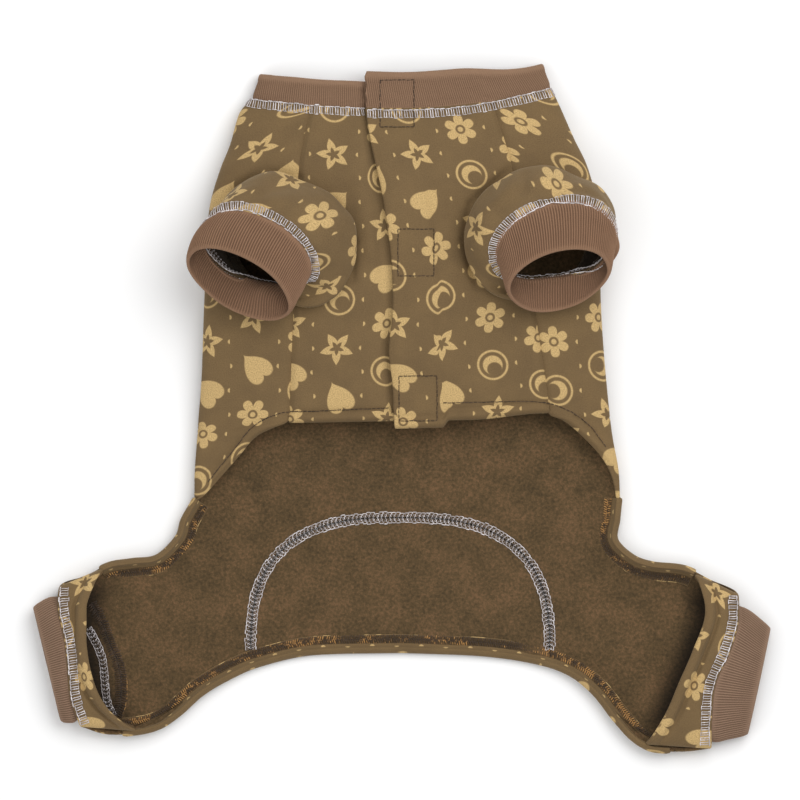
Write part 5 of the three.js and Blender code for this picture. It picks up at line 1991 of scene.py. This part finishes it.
@dataclass
class HindLeg:
    """Upper half of one hind leg and its ribbed cuff."""

    body: Body
    side: Side
    edge: Table
    cuff_front: tuple[float, float]
    cuff_rear: tuple[float, float]
    front_width: float
    cuff_width: float
    height: float = 19.0
    roll_rise: float = 1.6
    roll_width: float = 5.2
    roll_height: float = 2.4
    fold_gap: float = 1.0
    flatness: float = 0.8
    wall: float = 2.0
    cuff_height: float = 15.0
    cuff_gap: float = 0.8
    cuff_inset_front: float = 0.09
    cuff_inset_rear: float = 0.035
    cut_length: float = 0.105
    cuff_cut_length: float = 0.165
    stitch_inset: float = 2.9
    ribs: RibBand = RibBand(1.25, 0.28, 0.5, 0.9, 0.88)

    def seam_point(self, over: Grid) -> Grid:
        """Places on the seam between leg and cuff, from the front fold (0) to the rear fold (1)."""
        row = self.body.cuff_corner_row + over * (self.body.tail_row - self.body.cuff_corner_row)
        return self.body.lower_point(row, self.side, 1.0)

    def edge_line(self, over: Grid) -> Grid:
        """The rolled edge on the body side in plan."""
        across, down = self.edge.read("across", over), self.edge.read("down", over)
        return np.stack([self.body.chest_half_width * across, self.body.down_to_y(down)], axis=1)

    def front_grid(self) -> tuple[Grid, Grid]:
        """Draws the upper half of the leg, from the cuff seam to the rolled edge on the body side.

        Returns:
            Rows of points on the outer skin, and the wall's thickness at each.
        """
        body = self.body
        angle = np.linspace(0, math.pi, 90)
        over = (1 - np.cos(angle)) / 2
        seam = self.seam_point(over)
        seam[:, 0] -= self.side.sign * 0.2
        edge = self.edge_line(over)
        arch = np.sin(angle) ** self.flatness
        lift = body.leg_lift + self.fold_gap
        rows, thick = [], []
        span = np.linalg.norm(edge - seam, axis=1)
        for inward in np.linspace(0, 1, 44):
            flat = seam + (edge - seam) * inward
            z = lift + (self.height - lift + self.roll_rise * inward) * arch
            waves = Ripples(41, 22, 48, 16).at(flat[:, 0], flat[:, 1]) * 1.1 * arch
            dip = -0.9 * math.exp(-((inward * 9) ** 2))
            left = span * (1 - inward)
            roll = self.roll_height * np.sqrt(np.clip(1 - (left / self.roll_width - 0.42) ** 2 / 0.34, 0, 1))
            crease = -2.0 * bell(left, 1.15 * self.roll_width, 1.5) * smoothstep(span, 9, 14)
            rows.append(np.column_stack([flat, z + (waves * smoothstep(inward, 0, 0.3) + dip + roll + crease) * arch]))
            thick.append(self.wall + 1.5 * roll / self.roll_height)
        return np.array(rows), np.array(thick)

    def cuff_ring(self, outward: float, angles: Grid) -> Grid:
        """Draws a ring of the cuff.

        Args:
            outward: 0 at the leg's seam, 1 at the lip.
            angles: where its points are, in radians.

        Returns:
            The ring's points.
        """
        front, rear = (
            np.array([across * self.body.chest_half_width, float(self.body.down_to_y(down))])
            for across, down in (self.cuff_front, self.cuff_rear)
        )
        height = (self.height - self.fold_gap) * (1 - outward) + self.cuff_height * outward
        over = (1 - np.cos(angles)) / 2
        inner = self.seam_point(self.cuff_inset_front + (1 - self.cuff_inset_front - self.cuff_inset_rear) * over)
        inner[:, 0] += self.side.sign * self.cuff_gap
        flat = inner + (front + (rear - front) * over[:, None] - inner) * outward
        swell = np.sign(np.sin(angles)) * np.abs(np.sin(angles)) ** self.flatness
        return np.column_stack([flat, height / 2 * (1 + swell)])

    def cuff_skins(self) -> tuple[Grid, Grid, Grid]:
        """Draws the cuff.

        Returns:
            Its outer and inner skin, and how much each point is on a rib.
        """
        angles = self.ribs.angles(lambda turn: self.cuff_ring(0.6, turn), 3000)
        grid = np.array([self.cuff_ring(float(share), angles) for share in np.linspace(0, 1, 16)])
        return self.ribs.skins(grid, 0.6 * Ripples(53, 24, 50, 14).at(grid[..., 0], grid[..., 1]))

    def build(self, finishes: Finishes) -> dict[str, bpy.types.Object]:
        """Makes the leg's upper half and its cuff.

        Args:
            finishes: all the materials.

        Returns:
            The pieces by name.
        """
        name = self.side.value
        outer, thick = self.front_grid()
        inner = outer + self.side.sign * thick[..., None] * grid_normals(outer)
        front = Cloth(f"{name}_leg_front", outer, inner, rim_steps=5).make()
        finish_piece(front, f"hind_leg_front_{name}", (finishes.printed, finishes.fleece))
        outer, inner, shade = self.cuff_skins()
        cuff = Cloth(f"{name}_hind_cuff", outer, inner, is_tube=True, rim_steps=4, shade=shade).make()
        finish_piece(cuff, f"hind_cuff_{name}", (finishes.hind_cuff, finishes.hind_cuff))
        return {f"{name}_leg_front": front, f"{name}_hind_cuff": cuff}


@dataclass
class Hems:
    """The turned-in hems along the open rear: a soft roll of printed cloth, then its overlocked raw edge."""

    body: Body
    wall: float = 2.0
    roll_width: float = 4.2
    roll_height: float = 1.5
    edge_width: float = 4.6
    edge_thickness: float = 0.7
    overhang: float = 0.6
    side_last_row: float = 5.35
    tail_end: float = 0.865
    cut_width: float = 0.0125
    side_length: float = 0.09
    tail_length: float = 0.3

    def inside_z(self, edge: Grid, away: Grid) -> Grid:
        """Height of the panel's inner skin at a distance from the outline.

        Args:
            edge: the outline's points.
            away: distances inwards from the outline.

        Returns:
            A height for each point and distance.
        """
        body = self.body
        found = [body.nearest.find((x, y, 0))[1] for x, y in edge]
        lift = body.outline_lift[np.array(found)][:, None]
        roll = body.edge_roll * lift
        share = np.clip(1 - away[None, :] / roll, 0, 1)
        for _ in range(6):
            share = np.clip(1 - (away[None, :] - self.wall * share) / roll, 0, 1)
        return lift * (1 - np.sqrt(1 - share**2)) + self.wall * np.sqrt(1 - share**2)

    def strip(self, name: str, edge: Grid) -> tuple[bpy.types.Object, Grid, Grid]:
        """Makes one hem. The edge runs with the panel on its left.

        Args:
            name: the piece's name.
            edge: the outline's points.

        Returns:
            The hem, and the line of its raw edge with the normals there.
        """
        tangent = np.gradient(edge, axis=0)
        tangent = np.stack([smoothed(tangent[:, i], 15) for i in (0, 1)], axis=1)
        inward = unit(np.stack([-tangent[:, 1], tangent[:, 0]], axis=1))
        total = self.roll_width + self.edge_width
        away = np.concatenate([
            -self.overhang + (self.roll_width + self.overhang) * np.linspace(0, 1, 15),
            np.linspace(self.roll_width, total, 7)[1:],
        ])
        base = self.inside_z(edge, np.maximum(away, 0))
        hump = np.sin(math.pi * np.clip((away + self.overhang) / (self.roll_width + self.overhang), 0, 1)) ** 0.75
        raw = self.edge_thickness * smoothstep(away, self.roll_width - 1.2, self.roll_width)
        along = np.arange(len(edge))[:, None] * np.ones_like(away)[None, :]
        puff = 1 + 0.16 * Ripples(97, 16, 40).at(along, 0 * along)
        top = base + 0.25 + self.roll_height * hump[None, :] * puff + raw[None, :]
        low = base + 0.1
        low[:, away < 0.6] -= 1.6
        flat = edge[:, None, :] + inward[:, None, :] * away[None, :, None]
        outer = np.concatenate([flat, top[..., None]], axis=2)
        inner = np.concatenate([flat, low[..., None]], axis=2)
        middle = int(np.argmin(np.abs(away - (self.roll_width + 0.42 * self.edge_width))))
        raw_from = int(np.argmax(away >= self.roll_width - 0.3))
        return Cloth(name, outer, inner, raw_from=raw_from).make(), outer[:, middle], -grid_normals(outer)[:, middle]

    def build(self, finishes: Finishes) -> dict[str, bpy.types.Object]:
        """Makes the two side hems and the tail hem with their overlock.

        Args:
            finishes: all the materials.

        Returns:
            The pieces by name.
        """
        body = self.body
        made: dict[str, bpy.types.Object] = {}
        rows = np.linspace(0, self.side_last_row, 150)
        share = np.linspace(self.tail_end, 0, 150)
        tail = np.full_like(share, body.tail_row)
        left_side, right_side = (resample(body.lower_point(rows, side, 1.0), 150) for side in Side)
        left_tail, right_tail = (body.lower_point(tail, side, share) for side in Side)
        for name, node, edge, length in (
            ("left_side_hem", "side_hem_left", left_side, self.side_length),
            ("right_side_hem", "side_hem_right", right_side[::-1], self.side_length),
            ("rear_hem", "tail_hem", resample(np.vstack([left_tail, right_tail[:-1][::-1]]), 300), self.tail_length),
        ):
            made[name], line, normals = self.strip(name, edge)
            finish_piece(
                made[name], node, (finishes.printed, finishes.fleece))
            seam = Seam(f"{name}_overlock", StitchKind.OVERLOCK, line, normals, 1.0, 7).make()
            finish_piece(seam, None, (finishes.overlock,))
            made[seam.name] = seam
        return made


@dataclass
class Studio:
    """A plain pale floor, soft light from above and the camera of the view. Its sizes are in metres."""

    floor_colour: str = "#F4F4F4"
    floor_size: float = 6.0
    floor_roughness: float = 0.9
    sky_strength: float = 0.55
    view_width: float = 0.44
    camera_place: tuple[float, float, float] = (-1.1 * MM, 4.95 * MM, 1.0)

    def build(self) -> None:
        """Makes the floor, the lights, the world and the camera."""
        bpy.ops.mesh.primitive_plane_add(size=self.floor_size, location=(0, 0, 0))
        floor = bpy.context.object
        floor.name = "studio_floor"
        material = bpy.data.materials.new("pale_floor")
        material.use_nodes = True
        shader = material.node_tree.nodes["Principled BSDF"]
        shader.inputs["Base Color"].default_value = linear(self.floor_colour)
        shader.inputs["Roughness"].default_value = self.floor_roughness
        floor.data.materials.append(material)
        for name, size, place, turn, power in (
            ("key", 1.3, (0.55, 0.6, 1.35), (-24, 22, 0), 17.0),
            ("fill", 1.8, (-0.7, -0.5, 1.4), (20, -27, 0), 9.0),
        ):
            light = bpy.data.lights.new(name, "AREA")
            light.size = size
            light.energy = power
            lamp = bpy.data.objects.new(name, light)
            lamp.location = place
            lamp.rotation_euler = Euler([math.radians(a) for a in turn])
            bpy.context.scene.collection.objects.link(lamp)
        world = bpy.data.worlds.new("studio")
        world.use_nodes = True
        background = world.node_tree.nodes["Background"]
        background.inputs["Color"].default_value = (1, 1, 1, 1)
        background.inputs["Strength"].default_value = self.sky_strength
        bpy.context.scene.world = world
        bpy.context.scene.view_settings.view_transform = "Standard"
        lens = bpy.data.cameras.new("camera")
        lens.type = "ORTHO"
        lens.ortho_scale = self.view_width
        camera = bpy.data.objects.new("camera", lens)
        camera.location = self.camera_place
        bpy.context.scene.collection.objects.link(camera)
        bpy.context.scene.camera = camera


def main() -> None:
    """Builds the jumpsuit piece by piece and stages it."""
    logging.basicConfig(level=logging.INFO, format="%(message)s")
    body = Body()
    finishes = Finishes()
    legs = [
        HindLeg(body, Side.LEFT, Table(
            ("over", "across", "down"),
            ((0, -1.46, 0.852), (0.2, -1.53, 0.92), (0.45, -1.53, 0.985),
             (0.68, -1.5, 1.05), (0.86, -1.43, 1.103), (1, -1.3, 1.147)),
        ), (-1.775, 0.92), (-1.64, 1.13), 0.026, 0.019),
        HindLeg(body, Side.RIGHT, Table(
            ("over", "across", "down"),
            ((0, 1.43, 0.862), (0.2, 1.47, 0.93), (0.45, 1.41, 1),
             (0.68, 1.34, 1.062), (0.86, 1.28, 1.115), (1, 1.19, 1.172)),
        ), (1.775, 0.958), (1.665, 1.152), 0.034, 0.03),
    ]
    torso = Torso(body, finishes, leg_edges=[leg.edge_line(np.linspace(0, 1, 60)) for leg in legs])
    sleeves = [
        FrontSleeve(body, Side.LEFT, -0.553, 0.25, 240, LEFT_RINGS, 61, Dent(5.35, 3.75, 9.0), (5.6, 4.5),
                    (Crease((314, 256), (304, 294), 2.8, -3.0), Crease((236, 196), (322, 216), 7, 1.2))),
        FrontSleeve(body, Side.RIGHT, 0.632, 0.25, 287, RIGHT_RINGS, 71, Dent(4.45, 3.2, 5.0), (4.0, 2.0),
                    (Crease((525, 174), (523, 197), 2.8, -2.0), Crease((484, 196), (476, 250), 6, 1.2))),
    ]
    plugs = [sleeve.plug() for sleeve in sleeves]
    pieces = torso.build(plugs)
    for plug in plugs:
        bpy.data.objects.remove(plug)
    for name, node, flat, under in (
        ("back", "back_panel", (0.46, 0.36, 0.088), "studio_floor"),
        ("rump", "rump_panel", (0.166, 0.083, 0.011), "studio_floor"),
        ("left_chest", "chest_panel_left", (0.085, 0.18, 0.012), "back"),
        ("right_chest", "chest_panel_right", (0.105, 0.18, 0.0128), "left_chest"),
    ):
        finish_piece(
            pieces[name], node, (finishes.printed, finishes.fleece))
    for sleeve in sleeves:
        pieces.update(sleeve.build(finishes))
    collar = Collar(body, torso)
    pieces.update(collar.build(finishes))
    for leg in legs:
        pieces.update(leg.build(finishes))
    pieces.update(Hems(body).build(finishes))
    Sewing(finishes, pieces).build(torso, collar, sleeves, legs)
    for place in ("upper", "middle", "lower"):
        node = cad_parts[f"hook_patch_{place}"]
        node.data.materials.clear()
        node.data.materials.append(finishes.tape)
    Studio().build()


if __name__ == "__main__":
    main()
